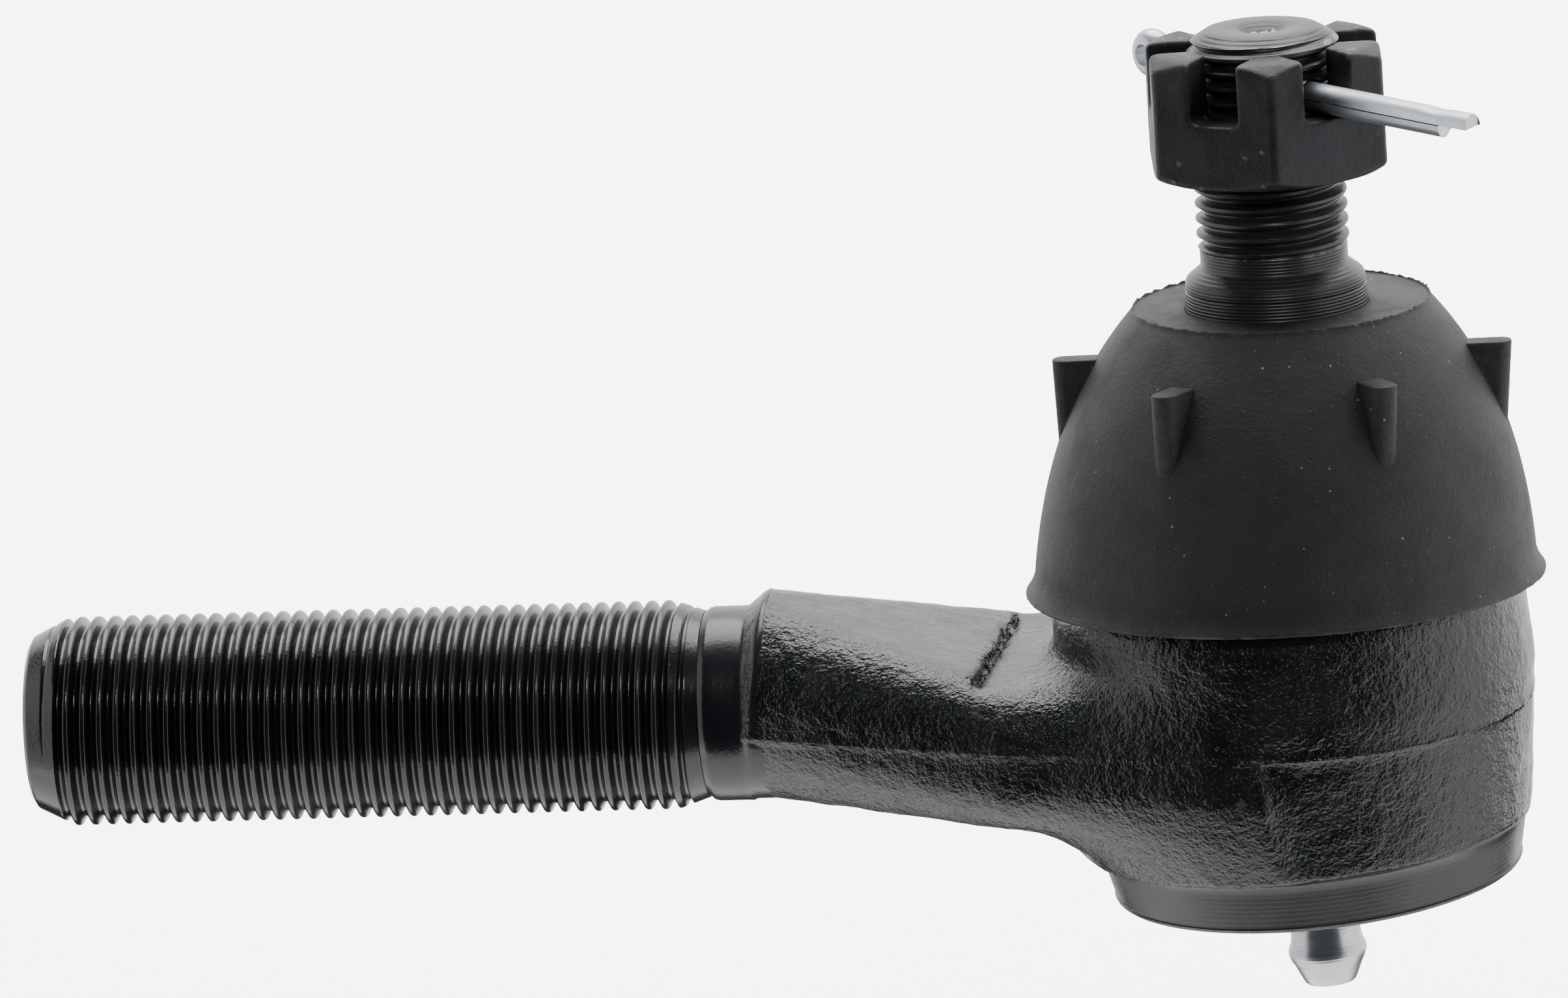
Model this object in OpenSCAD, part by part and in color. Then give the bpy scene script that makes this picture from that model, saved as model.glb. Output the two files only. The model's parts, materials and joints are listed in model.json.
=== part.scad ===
// Tie rod end: a tapered ball stud held in a forged socket, with a left-hand threaded shank.
// The origin is the centre of the ball. The shank lies along X and points to -X. +Z is square
// to the shank, in the plane that the housing axis shares with it. Millimetres and degrees.

/* [Shank] */
// Major diameter of the shank thread
shank_d = 17.4; // [15:0.1:20]
// Pitch of the shank thread
shank_pitch = 1.411; // [1.2:0.001:1.8]
// Distance from the ball centre to the end of the shank
shank_reach = 106; // [96:1:140]
// Length of the thread, measured from the end of the shank
thread_len = 56.7; // [45:0.1:60]
// Length of the chamfer that starts the thread
shank_chamfer = 1.5; // [0.8:0.1:2.5]
// Diameter of the plain neck between the thread and the arm
collar_d = 16.2; // [14:0.1:18]
// Length of the plain neck
collar_len = 5.3; // [2:0.1:10]

/* [Arm] */
// Radius of the arm's round end
arm_end_r = 8.7; // [7.5:0.1:10]
// How far the arm's round end stands above the shank axis
arm_end_rise = 0.7; // [0:0.1:1.5]
// Width of the arm where it meets the housing
arm_root_w = 30; // [24:0.5:34]
// Height of the arm where it meets the housing
arm_root_h = 12.4; // [9:0.1:16]
// How far the arm's root is centred below the shank axis
arm_root_drop = 2.2; // [0:0.1:4]
// Radius of the arm's long edges at its root
arm_edge_r = 5; // [3:0.1:6]

/* [Housing] */
// Angle between the housing axis and +Z, leaning over the shank
housing_lean = 2.8; // [0:0.1:6]
// Outer radius of the forged housing
housing_r = 19.8; // [17.5:0.1:24]
// Height of the housing crown above the ball centre
crown_h = 13; // [11.5:0.1:16]
// Radius of the crown's outer edge
crown_edge_r = 5; // [3:0.1:6]
// Draft angle of the forged wall
draft = 6.9; // [2:0.1:8]
// How far the lip is stepped in from the foot of the forged wall
lip_step = 0.5; // [0.2:0.1:1.5]
// Thickness of the housing wall at its lip
lip_wall = 2.4; // [1.5:0.1:4]
// Height of the rolled lip below the forged wall
lip_h = 3.55; // [2.4:0.05:5]
// How far the lip leans in over its height
lip_lean = 0.85; // [0.2:0.05:1.5]
// How far the rolled edge reaches in over the cover plate
lip_roll = 1.7; // [0.8:0.1:2.5]

/* [Ball stud] */
// Diameter of the ball
ball_d = 21.6; // [20:0.1:23]
// Diameter of the neck above the ball
neck_d = 10.8; // [9:0.1:12]
// Diameter of the stud's taper at its small end
taper_d = 14.85; // [13.5:0.05:16]
// Height of the flare between the neck and the taper
flare_h = 3.3; // [2:0.1:6]
// Length of the taper
taper_len = 16; // [12:0.1:24]
// Length over which the taper's diameter changes by one millimetre
taper_ratio = 8; // [6:0.5:12]
// Major diameter of the stud thread
stud_d = 12.64; // [11:0.02:13.5]
// Pitch of the stud thread
stud_pitch = 1.27; // [1:0.01:1.5]
// How far the stud stands out of the nut
stud_proud = 1.1; // [0.5:0.1:6]
// Angle between the stud and +Z at rest, leaning to +Y
stud_lean = 3.2; // [0:0.1:8]
// Largest angle between the stud and the housing axis
swing = 20; // [10:1:20]

/* [Castle nut and cotter pin] */
// Width across the nut's flats
nut_af = 19.1; // [18:0.1:22]
// Height of the nut
nut_h = 10.8; // [9:0.1:12]
// Gap between the stud's shoulder and the nut
nut_gap = 8.8; // [6:0.1:12]
// Width of the nut's slots
slot_w = 4.4; // [3.5:0.1:5]
// Depth of the nut's slots
slot_h = 5.3; // [4.5:0.1:6]
// Direction of one of the nut's corners about the stud
nut_turn = -80.4; // [-180:0.1:180]
// Diameter of the cotter pin
pin_d = 2.34; // [1.8:0.02:2.6]
// Distance from the stud axis to the end of the pin's long leg
pin_leg = 27.5; // [20:0.5:34]
// How much shorter the pin's other leg is
pin_step = 3.6; // [0:0.1:6]
// Gap between the nut and the pin's eye
eye_gap = 2.98; // [0.5:0.01:6]
// Inner radius of the pin's eye
eye_r = 0.9; // [0.6:0.1:2]

/* [Dust boot] */
// Radius of the boot's flat top
boot_top_r = 12.35; // [11:0.05:14]
// How far the boot's flat top is below the taper's small end
boot_drop = 2.5; // [0.5:0.1:5]
// Gap between the boot's rim and the housing
boot_gap = 0.35; // [0.2:0.01:1]
// How far the boot reaches down over the housing's crown
boot_lap = 3.9; // [2:0.1:6]
// Thickness of the boot's wall
boot_wall = 1.4; // [1:0.1:1.8]
// Thickness of the boot's top
boot_lid = 2; // [1.5:0.1:3]
// Number of lugs round the boot
lugs = 6; // [3:1:8]
// How far a lug's outer face is in from the rim
lug_inset = 2.5; // [1.5:0.1:4]
// Width of a lug
lug_w = 2.3; // [1.5:0.1:3.5]
// How far a lug's flat top is below the boot's top
lug_drop = 4.4; // [3.5:0.1:6]
// Direction of the first lug about the stud
lug_turn = -116; // [-180:1:180]

/* [Bearing and cover] */
// Gap between the ball and its seats
seat_gap = 0.15; // [0.1:0.01:0.3]
// Gap between the bearing rings and the housing bore
ring_gap = 0.05; // [0.02:0.01:0.1]
// Thickness of the lower ring under the ball
cup_floor = 1.95; // [1.5:0.05:3]
// Thickness of the cover plate
cover_t = 1.7; // [1.2:0.1:2.5]
// Wire diameter of the preload spring
spring_wire = 1.6; // [1.2:0.1:2]
// Turns of the preload spring
spring_turns = 1.75; // [1.25:0.25:2.5]

/* [Grease fitting] */
// Width across the flats of the fitting's hexagon
fitting_af = 7.94; // [7:0.01:9]
// Diameter of the fitting's thread
fitting_d = 6.35; // [5:0.05:7]
// Largest diameter of the fitting's head
head_d = 6.55; // [6:0.05:7.5]
// Distance from the cover plate to the fitting's tip
fitting_len = 10.3; // [9:0.1:14]
// Diameter of the check ball in the fitting
check_d = 1.8; // [1.5:0.1:2]

/* [Hidden] */
$fn = 96;
eps = 0.01;                               // overlap of solids that are joined
slip = 0.06;                              // running gap of a snug round fit
over = 1;                                 // how far a cut runs past the face it opens

// thread form, in shares of the pitch
thread_depth = 0.6134;
thread_root = 0.125;
thread_flank = thread_depth*tan(30);
thread_crest = 1 - thread_root - 2*thread_flank;

// bearing rings, cover and lip, down the housing axis from the ball
seat_r = ball_d/2 + seat_gap;
ring_split = 0.3;                         // half of the gap between the two rings
seat_trim = 1;                            // how far the upper ring starts inside its seat
cup_gap = 0.5;                            // gap between the lower ring and the cover plate
roll_t = 1.15;                            // thickness of the lip rolled under the cover plate
roll_bevel = 0.4;                         // depth of the roll's bevelled inner edge
nose_z = -(seat_r + cup_floor);
cover_top = nose_z - cup_gap;
cover_face = cover_top - cover_t;
lip_z = cover_face - roll_t;
foot_z = lip_z + lip_h;                   // where the forged wall ends and the lip begins

// housing
belt_z = 1.5;                             // where the wall's draft starts
foot_round = 1.1;                         // radius of the forged wall's lower edge
foot_r = housing_r - (belt_z - foot_z)*tan(draft);
lip_r = foot_r - lip_step;
bore_r = lip_r - lip_wall;
ring_r = bore_r - ring_gap;
shelf_z = 0.74*ball_d/2;                  // underside of the crown, below the top of the ball
mouth_gap = 0.35;                         // gap between the neck and the mouth at full swing
opening_r = function(z) z*tan(swing) + neck_d/2/cos(swing) + mouth_gap;

// preload spring, round the lower ring's nose
spring_step = 1.13;                       // rise of a turn, in wire diameters
spring_top = cover_top + spring_wire*(1 + spring_step*spring_turns);
nose_wall = 0.64;                         // least wall between the ball's seat and the spring
nose_r = sqrt(pow(seat_r, 2) - pow(spring_top, 2)) + nose_wall;
spring_r = nose_r + spring_wire/2 + 0.5;
spring_slack = 0.1;                       // gap over and under the spring

// shank and arm
arm_reach = shank_reach - thread_len - collar_len;
collar_root = 0.5;                        // the collar runs this far into the arm
arm_root_x = housing_r + 3.66;            // the arm's root section, just outside the housing
arm_heel_x = 0.3*housing_r;               // the section inside it, where the arm meets the
arm_heel_w = 1.76*housing_r;              // housing's circle
arm_slab = 0.1;                           // thickness of the sections that shape the arm

// stud, along its own axis
neck_top = (crown_h + neck_d/2*sin(swing))/cos(swing) + 0.1;
taper_base = neck_top + flare_h;
taper_top = taper_base + taper_len;
taper_base_d = taper_d + taper_len/taper_ratio;
ball_top = sqrt(pow(ball_d/2, 2) - pow(neck_d/2, 2));
ball_flat = 0.5;                          // depth of the flat under the ball
ball_flat_r = 4;
shoulder_h = 0.9;                         // height of the cone above the taper
runout_h = 1.8;                           // from the taper's end to the first thread groove
runout_r = stud_d/2 - 0.2;
thread_z = taper_top + runout_h;
nut_z = taper_top + nut_gap;
stud_top = nut_z + nut_h + stud_proud;
stud_chamfer = 1.1;
centre_r = 2.15;                          // centre drilling in the stud's end
centre_depth = 1.4;

// nut and pin
nut_chamfer = 32;
nut_face_inset = 0.15;
slot_corner = 0.8;
pin_lift = 0.25;                          // gap between the pin and the floor of its slots
pin_z = nut_z + nut_h - slot_h + pin_d/2 + pin_lift;
pin_skew = asin((slot_w - pin_d - 2*slip)/nut_af);   // the pin leans across its slots
pin_turn = nut_turn + 30 + pin_skew;
pin_eye = nut_af/2 + eye_gap + pin_d/2 + eye_r;
pin_grip = pin_eye - eye_r + 0.2;         // where the legs leave the eye
pin_cut = 28;                             // angle at which the legs are sheared
hole_r = pin_d/2 + 0.28;
split = 0.05;                             // half of the gap between the pin's legs
eye_lift = eye_r + split;                 // the eye is bent up from the lower leg

// boot, along the stud axis
boot_top = taper_top - boot_drop;
boot_rim = crown_h - boot_lap;
boot_rim_r = housing_r + boot_gap + boot_wall;
bell = [[boot_top_r, boot_top],
        [boot_top_r + 4.65, boot_top - 5.2],
        [boot_rim_r - 1.55, boot_rim + 11.4],
        [boot_rim_r - 0.75, boot_rim + 1.7]];
bell_steps = 14;
lid_inset = 0.6;                          // the inside's flat top is this much smaller
rim_relief = 0.2;                         // the wall thins by this much at the rim
lug_root = boot_rim + 10;                 // the lugs start inside the wall

// grease fitting, down the housing axis from the cover plate
hex_h = 3.2;
waist_d = 4.8;
waist_h = 1.3;
nose_d = 4.1;
head_z = cover_face - hex_h - waist_h;
head_h = fitting_len - hex_h - waist_h;
head_steps = [[0.3, 0.35], [0.5, 0], [0.66, 0.3]];   // share of its height, inset of its radius
throat_r = check_d/2 - 0.25;
cage_r = check_d/2 + 0.2;
check_z = cover_face - fitting_len + 1.2;
check_seat = 0.45;                        // depth of the seat below the check ball
check_wire = 0.25;
check_turns = 4;
cage_top = cover_top + 1;

// a point of a cubic curve, its slope, and the point a distance in from it
function curve(p, t) = pow(1-t, 3)*p[0] + 3*t*pow(1-t, 2)*p[1] + 3*t*t*(1-t)*p[2] + t*t*t*p[3];
function slope(p, t) = 3*pow(1-t, 2)*(p[1]-p[0]) + 6*t*(1-t)*(p[2]-p[1]) + 3*t*t*(p[3]-p[2]);
function inward(p, t, d) = curve(p, t) + d*[slope(p, t)[1], -slope(p, t)[0]]/norm(slope(p, t));
function arc(c, r, a, b, n) = [for (i = [0:n]) c + r*[cos(a + (b-a)*i/n), sin(a + (b-a)*i/n)]];

module in_housing() { rotate([0, -housing_lean, 0]) children(); }
module in_stud() { rotate([-stud_lean, 0, 0]) children(); }

// a rod along +Z with a ring groove for each turn of its thread, chamfered at its top
module threaded_rod(d, pitch, z0, z1, chamfer) {
    depth = thread_depth*pitch;
    count = floor((z1 - chamfer - z0)/pitch);
    rotate_extrude() polygon(concat(
        [[0, z0], [d/2, z0]],
        [for (i = [0:count-1], k = [0:3])
            [d/2 - (k == 1 || k == 2 ? depth : 0),
             z0 + pitch*(i + thread_crest/2 + (k > 0 ? thread_flank : 0)
                         + (k > 1 ? thread_root : 0) + (k > 2 ? thread_flank : 0))]],
        [[d/2, z1 - chamfer], [d/2 - chamfer, z1], [0, z1]]));
}

// a wire wound up from z0 to z1 about +Z
module coil(r, wire, z0, z1, turns, sides = 10, steps = 28) {
    n = floor(turns*steps);
    rise = z1 - z0 - wire;
    points = [for (i = [0:n], k = [0:sides-1])
        let (a = 360*turns*i/n, b = 360*k/sides, q = r + wire/2*cos(b))
        [q*cos(a), q*sin(a), z0 + wire/2 + rise*i/n + wire/2*sin(b)]];
    walls = [for (i = [0:n-1], k = [0:sides-1])
        let (j = (k+1) % sides)
        [i*sides + k, (i+1)*sides + k, (i+1)*sides + j, i*sides + j]];
    polyhedron(points, concat(walls, [[for (k = [0:sides-1]) k]],
                              [[for (k = [sides-1:-1:0]) n*sides + k]]));
}

// four rounded corners of a cross-section of the arm
module arm_section(x, w) {
    for (y = [-1, 1], z = [-1, 1])
        translate([-x, y*(w/2 - arm_edge_r), z*(arm_root_h/2 - arm_edge_r) - arm_root_drop])
            rotate([0, -90, 0]) cylinder(r = arm_edge_r, h = arm_slab, $fn = 32);
}

module arm() {
    hull() {
        translate([-arm_reach + arm_slab, 0, arm_end_rise]) rotate([0, -90, 0])
            cylinder(r = arm_end_r, h = arm_slab, $fn = 64);
        arm_section(arm_root_x, arm_root_w);
    }
    hull() {
        arm_section(arm_root_x, arm_root_w);
        arm_section(arm_heel_x, arm_heel_w);
    }
}

module housing_body() {
    rotate_extrude() polygon(concat(
        [[0, crown_h]],
        arc([housing_r - crown_edge_r, crown_h - crown_edge_r], crown_edge_r, 90, 0, 12),
        [[housing_r, belt_z]],
        arc([foot_r + foot_round*(tan(draft) - 1), foot_z + foot_round], foot_round, 0, -60, 5),
        [[lip_r, foot_z], [lip_r - lip_lean, lip_z], [0, lip_z]]));
}

module housing_cavity() {
    rotate_extrude() polygon([
        [0, crown_h + over], [opening_r(crown_h + over), crown_h + over],
        [opening_r(shelf_z), shelf_z], [bore_r, shelf_z],
        [bore_r, cover_face], [bore_r - lip_roll, cover_face - roll_bevel],
        [bore_r - lip_roll, lip_z - over], [0, lip_z - over]]);
}

// One forging: the housing, its arm and the threaded shank
module socket_forging() {
    color([0.05, 0.05, 0.06]) difference() {
        union() {
            rotate([0, -90, 0]) {
                threaded_rod(shank_d, shank_pitch, shank_reach - thread_len, shank_reach,
                             shank_chamfer);
                translate([0, 0, arm_reach - collar_root])
                    cylinder(d = collar_d, h = collar_len + collar_root + eps);
            }
            arm();
            in_housing() housing_body();
        }
        in_housing() housing_cavity();
    }
}

// Ring that holds the ball down from above, with a cone for the stud to swing in
module upper_bearing() {
    color([0.45, 0.42, 0.36]) in_housing() difference() {
        rotate_extrude() polygon([
            [opening_r(shelf_z - ring_gap), shelf_z - ring_gap], [ring_r, shelf_z - ring_gap],
            [ring_r, ring_split], [seat_r - seat_trim, ring_split],
            [seat_r - seat_trim, shelf_z/2]]);
        sphere(r = seat_r);
        cylinder(r = opening_r(shelf_z), h = shelf_z + over);
    }
}

// Cup under the ball that the spring presses up, turning with the ball in the bore
module lower_bearing() {
    cup_edge = spring_top + spring_slack;
    color([0.45, 0.42, 0.36]) in_housing() difference() {
        rotate_extrude() polygon([
            [0, -ring_split], [ring_r, -ring_split], [ring_r, cup_edge],
            [nose_r, cup_edge], [nose_r, nose_z], [0, nose_z]]);
        sphere(r = seat_r);
        translate([0, 0, nose_z - over]) cylinder(r = waist_d/2, h = seat_r);
    }
}

// Flat coil that keeps the cup pressed to the ball
module preload_spring() {
    color([0.35, 0.36, 0.38]) in_housing()
        coil(spring_r, spring_wire, cover_top + spring_slack/2, spring_top, spring_turns);
}

// Disc held in by the rolled lip, threaded for the grease fitting
module cover_plate() {
    color([0.30, 0.31, 0.32]) in_housing() difference() {
        translate([0, 0, cover_face]) cylinder(r = ring_r, h = cover_t);
        translate([0, 0, cover_face - over])
            cylinder(d = fitting_d + 2*slip, h = cover_t + 2*over);
    }
}

// Grease nipple: hexagon, waist and rounded head, bored for its check ball
module grease_fitting() {
    color([0.80, 0.81, 0.80]) in_housing() difference() {
        union() {
            translate([0, 0, cover_face - hex_h])
                cylinder(d = fitting_af/cos(30), h = hex_h, $fn = 6);
            translate([0, 0, cover_face - eps]) cylinder(d = fitting_d, h = cover_t + eps);
            rotate_extrude() polygon(concat(
                [[0, head_z + waist_h + eps], [waist_d/2, head_z + waist_h + eps],
                 [waist_d/2, head_z]],
                [for (s = head_steps) [head_d/2 - s[1], head_z - s[0]*head_h]],
                [[nose_d/2, head_z - head_h], [0, head_z - head_h]]));
        }
        translate([0, 0, head_z - head_h - over]) cylinder(r = throat_r, h = 3 + over);
        translate([0, 0, check_z - check_seat]) cylinder(r = cage_r, h = cage_top - check_z + over);
    }
}

// Ball that closes the grease fitting, held on its seat by the spring behind it
module fitting_ball() {
    color([0.75, 0.75, 0.74]) in_housing()
        translate([0, 0, check_z + check_d/2]) sphere(d = check_d);
}

module fitting_spring() {
    color([0.6, 0.6, 0.6]) in_housing()
        coil(cage_r - check_wire/2 - 0.1, check_wire, check_z + check_d + spring_slack/2,
             cover_face, check_turns, 6, 16);
}

// Bell-shaped rubber cover with lugs, snug on the stud and open over the housing
module dust_boot() {
    color([0.11, 0.11, 0.12]) in_stud() difference() {
        union() {
            rotate_extrude() polygon(concat(
                [[0, boot_top]], [for (i = [0:bell_steps]) curve(bell, i/bell_steps)],
                [[boot_rim_r, boot_rim], [0, boot_rim]]));
            for (i = [0:lugs-1]) rotate([0, 0, lug_turn + 360*i/lugs])
                translate([0, 0, lug_root]) linear_extrude(boot_top - lug_drop - lug_root) {
                    translate([boot_rim_r - lug_inset - lug_w/2, 0]) circle(d = lug_w);
                    translate([0, -lug_w/2]) square([boot_rim_r - lug_inset - lug_w/2, lug_w]);
                }
        }
        rotate_extrude() polygon(concat(
            [[0, boot_top - boot_lid],
             [boot_top_r - boot_wall - lid_inset, boot_top - boot_lid]],
            [for (i = [2:bell_steps]) inward(bell, i/bell_steps, boot_wall)],
            [[boot_rim_r - boot_wall + rim_relief, boot_rim - over], [0, boot_rim - over]]));
        translate([0, 0, boot_top - boot_lid - over])
            cylinder(d = taper_d + (boot_drop + boot_lid)/taper_ratio + 2*slip,
                     h = boot_lid + 2*over);
    }
}

// Ball, neck, taper and thread in one turned piece, cross-drilled for the pin
module ball_stud() {
    flare = (taper_base_d - neck_d)/2;
    color([0.24, 0.22, 0.20]) in_stud() difference() {
        union() {
            sphere(d = ball_d);
            rotate_extrude() polygon([
                [0, 0], [neck_d/2, ball_top - over], [neck_d/2, neck_top],
                [neck_d/2 + 0.25*flare, neck_top + 0.5*flare_h],
                [taper_base_d/2, taper_base],
                [taper_d/2, taper_top], [runout_r, taper_top + shoulder_h],
                [runout_r, thread_z + eps], [0, thread_z + eps]]);
            threaded_rod(stud_d, stud_pitch, thread_z, stud_top, stud_chamfer);
        }
        translate([0, 0, pin_z]) rotate([0, 90, pin_turn])
            cylinder(r = hole_r, h = stud_d + 2*over, center = true);
        translate([0, 0, stud_top - centre_depth])
            cylinder(r1 = 0, r2 = centre_r, h = centre_depth + eps);
        translate([0, 0, -ball_d/2 - over]) cylinder(r = ball_flat_r, h = ball_flat + over);
    }
}

module nut_slot() {
    rotate([90, 0, 90]) linear_extrude(nut_af) {
        translate([-slot_w/2, slot_corner]) square([slot_w, slot_h]);
        translate([-slot_w/2 + slot_corner, 0]) square([slot_w - 2*slot_corner, slot_h]);
        for (s = [-1, 1])
            translate([s*(slot_w/2 - slot_corner), slot_corner]) circle(r = slot_corner);
    }
}

// Hexagon nut with six slots, its corners rounded off at both ends
module castle_nut() {
    corner_r = nut_af/2/cos(30);
    face_r = nut_af/2 - nut_face_inset;
    fall = (corner_r + over - face_r)*tan(nut_chamfer);
    color([0.13, 0.14, 0.17]) in_stud() translate([0, 0, nut_z]) difference() {
        intersection() {
            rotate([0, 0, nut_turn]) cylinder(r = corner_r, h = nut_h, $fn = 6);
            rotate_extrude() polygon([
                [0, 0], [face_r, 0], [corner_r + over, fall],
                [corner_r + over, nut_h - fall], [face_r, nut_h], [0, nut_h]]);
        }
        translate([0, 0, -over]) cylinder(d = stud_d + 2*slip, h = nut_h + 2*over);
        for (i = [0:5]) rotate([0, 0, nut_turn + 30 + 60*i])
            translate([0, 0, nut_h - slot_h]) nut_slot();
    }
}

// Half-round wire doubled back on itself, with an eye at the fold
module cotter_pin() {
    color([0.78, 0.80, 0.83]) in_stud() translate([0, 0, pin_z]) rotate([0, 0, pin_turn]) {
        for (s = [-1, 1]) {
            leg = pin_leg - (s < 0 ? pin_step : 0);
            difference() {
                translate([-pin_grip, 0, 0]) rotate([0, 90, 0])
                    cylinder(d = pin_d, h = pin_grip + leg);
                translate([-pin_grip - over, -pin_d, s*(split - pin_d) - pin_d])
                    cube([pin_grip + leg + 2*over, 2*pin_d, 2*pin_d]);
                translate([leg, -pin_d/2, 0]) rotate([0, 0, pin_cut])
                    translate([0, -2*pin_d, -pin_d]) cube([2*pin_d, 4*pin_d, 2*pin_d]);
            }
        }
        translate([-pin_eye, 0, eye_lift]) rotate([90, 0, 0]) rotate_extrude() intersection() {
            translate([eye_r, 0]) circle(d = pin_d);
            translate([eye_r, -pin_d]) square([pin_d, 2*pin_d]);
        }
    }
}

socket_forging();
upper_bearing();
lower_bearing();
preload_spring();
cover_plate();
grease_fitting();
fitting_ball();
fitting_spring();
dust_boot();
ball_stud();
castle_nut();
cotter_pin();
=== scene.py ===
import json
import math

import bmesh
import bpy
from mathutils import Matrix, Vector, noise


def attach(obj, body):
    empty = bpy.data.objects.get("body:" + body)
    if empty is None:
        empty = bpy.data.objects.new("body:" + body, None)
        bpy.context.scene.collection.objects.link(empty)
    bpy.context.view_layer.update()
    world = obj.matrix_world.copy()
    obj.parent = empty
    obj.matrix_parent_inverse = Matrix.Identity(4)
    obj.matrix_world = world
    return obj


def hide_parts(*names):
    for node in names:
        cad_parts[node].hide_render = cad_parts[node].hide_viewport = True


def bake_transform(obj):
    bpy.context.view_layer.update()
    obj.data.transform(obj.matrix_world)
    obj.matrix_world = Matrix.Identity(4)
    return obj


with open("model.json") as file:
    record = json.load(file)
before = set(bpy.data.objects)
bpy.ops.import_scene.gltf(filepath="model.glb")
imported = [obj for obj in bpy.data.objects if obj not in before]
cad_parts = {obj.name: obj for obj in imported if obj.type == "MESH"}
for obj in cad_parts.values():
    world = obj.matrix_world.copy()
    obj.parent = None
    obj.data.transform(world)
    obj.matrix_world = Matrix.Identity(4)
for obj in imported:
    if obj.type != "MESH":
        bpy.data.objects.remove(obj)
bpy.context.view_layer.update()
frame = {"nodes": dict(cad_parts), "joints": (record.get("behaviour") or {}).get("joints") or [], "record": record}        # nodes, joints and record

scene = bpy.context.scene
mm = 0.001               # sizes below are in millimetres
joints = {joint["name"]: joint for joint in frame["joints"]}
mounts = {mount["name"]: mount for mount in frame["record"]["mounts"]}


# places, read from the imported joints, mounts and nodes

def frameAlong(axis, hint=(1, 0, 0)):        # a turn that stands +Z along the axis
    z = Vector(axis).normalized()
    x = Vector(hint)
    x = (x - z * x.dot(z)).normalized()
    return Matrix((x, z.cross(x), z)).transposed().to_4x4()


def reachAlong(node, axis):                  # the furthest that a node goes along an axis, in mm
    return max(axis.dot(v.co) for v in frame["nodes"][node].data.vertices) / mm


housingAxis = Vector(joints["seat_turn"]["axis"])
studAxis = Vector(joints["stud_turn"]["axis"])
pinWay = -Vector(joints["pin_pull"]["axis"])
shankWay = Vector(mounts["shank_thread"]["axis"])
inHousing = frameAlong(housingAxis)
inStud = frameAlong(studAxis)
inPin = frameAlong(studAxis, pinWay)
inShank = frameAlong(shankWay, (0, 1, 0))

studTop = reachAlong("ball_stud", studAxis)
nutTop = reachAlong("castle_nut", studAxis)
nutBottom = -reachAlong("castle_nut", -studAxis)
bootTop = reachAlong("dust_boot", studAxis)
shankEnd = reachAlong("socket_forging", shankWay)
lipBottom = -reachAlong("socket_forging", -housingAxis)
coverTop = reachAlong("cover_plate", housingAxis)
coverFace = -reachAlong("cover_plate", -housingAxis)
fittingTip = -reachAlong("grease_fitting", -housingAxis)
pinLong = reachAlong("cotter_pin", pinWay)
pinDrop = 3.88                               # from the nut's top down to the pin's middle
pinHeight = nutTop - pinDrop
print("frame read", len(frame["nodes"]), "nodes")


# camera, lights and floor

view = {"azimuth": 7.11, "elevation": 16.16, "roll": 3.58, "distance": 2.5, "lens": 692.6,
        "right": -0.0426, "up": 0.0156}


def makeCamera():
    azimuth, elevation = math.radians(view["azimuth"]), math.radians(view["elevation"])
    back = Vector((math.sin(azimuth) * math.cos(elevation),
                   -math.cos(azimuth) * math.cos(elevation), math.sin(elevation)))
    level = Vector((math.cos(azimuth), math.sin(azimuth), 0))
    tilt = Matrix.Rotation(math.radians(view["roll"]), 3, back)
    right = tilt.inverted() @ level
    up = back.cross(right)
    aim = right * view["right"] + up * view["up"]
    place = back * view["distance"]
    look = (place - aim).normalized()
    side = up.cross(look).normalized()
    data = bpy.data.cameras.new("camera")
    data.lens = view["lens"]
    data.sensor_width = 36
    data.clip_end = 100
    camera = bpy.data.objects.new("camera", data)
    turn = Matrix((side, look.cross(side), look)).transposed().to_4x4()
    camera.matrix_world = Matrix.Translation(place) @ turn
    scene.collection.objects.link(camera)
    scene.camera = camera


def softLight(name, place, aim, size, energy):
    data = bpy.data.lights.new(name, "AREA")
    data.shape = "RECTANGLE"
    data.size, data.size_y = size
    data.energy = energy
    lamp = bpy.data.objects.new(name, data)
    lamp.visible_camera = False
    back = (Vector(place) - Vector(aim)).normalized()
    lamp.matrix_world = Matrix.Translation(Vector(place)) @ frameAlong(back, (1, 0.01, 0))
    scene.collection.objects.link(lamp)


def makeStage():
    paper = bpy.data.materials.new("paper")
    paper.use_nodes = True
    shader = paper.node_tree.nodes["Principled BSDF"]
    looks = {"Base Color": (0.93, 0.93, 0.92, 1), "Roughness": 0.9,
             "Emission Color": (1, 1, 1, 1), "Emission Strength": 5}
    for label, value in looks.items():
        shader.inputs[label].default_value = value
    mesh = bpy.data.meshes.new("floor")
    half, drop = 6, 34                       # half its side in metres, and mm under the fitting
    height = (fittingTip - drop) * mm
    corners = ((-half, -half), (half, -half), (half, half), (-half, half))
    mesh.from_pydata([(x, y, height) for x, y in corners], [], [(0, 1, 2, 3)])
    mesh.materials.append(paper)
    floor = bpy.data.objects.new("floor", mesh)
    floor.visible_glossy = False             # it glows for the camera only, so blacks stay dark
    floor.visible_diffuse = False
    floor.visible_shadow = False
    scene.collection.objects.link(floor)
    world = bpy.data.worlds.new("studio")
    world.use_nodes = True
    sky = world.node_tree.nodes["Background"]
    sky.inputs["Color"].default_value = (0.8, 0.86, 1.0, 1)
    sky.inputs["Strength"].default_value = 0.07
    scene.world = world


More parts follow.
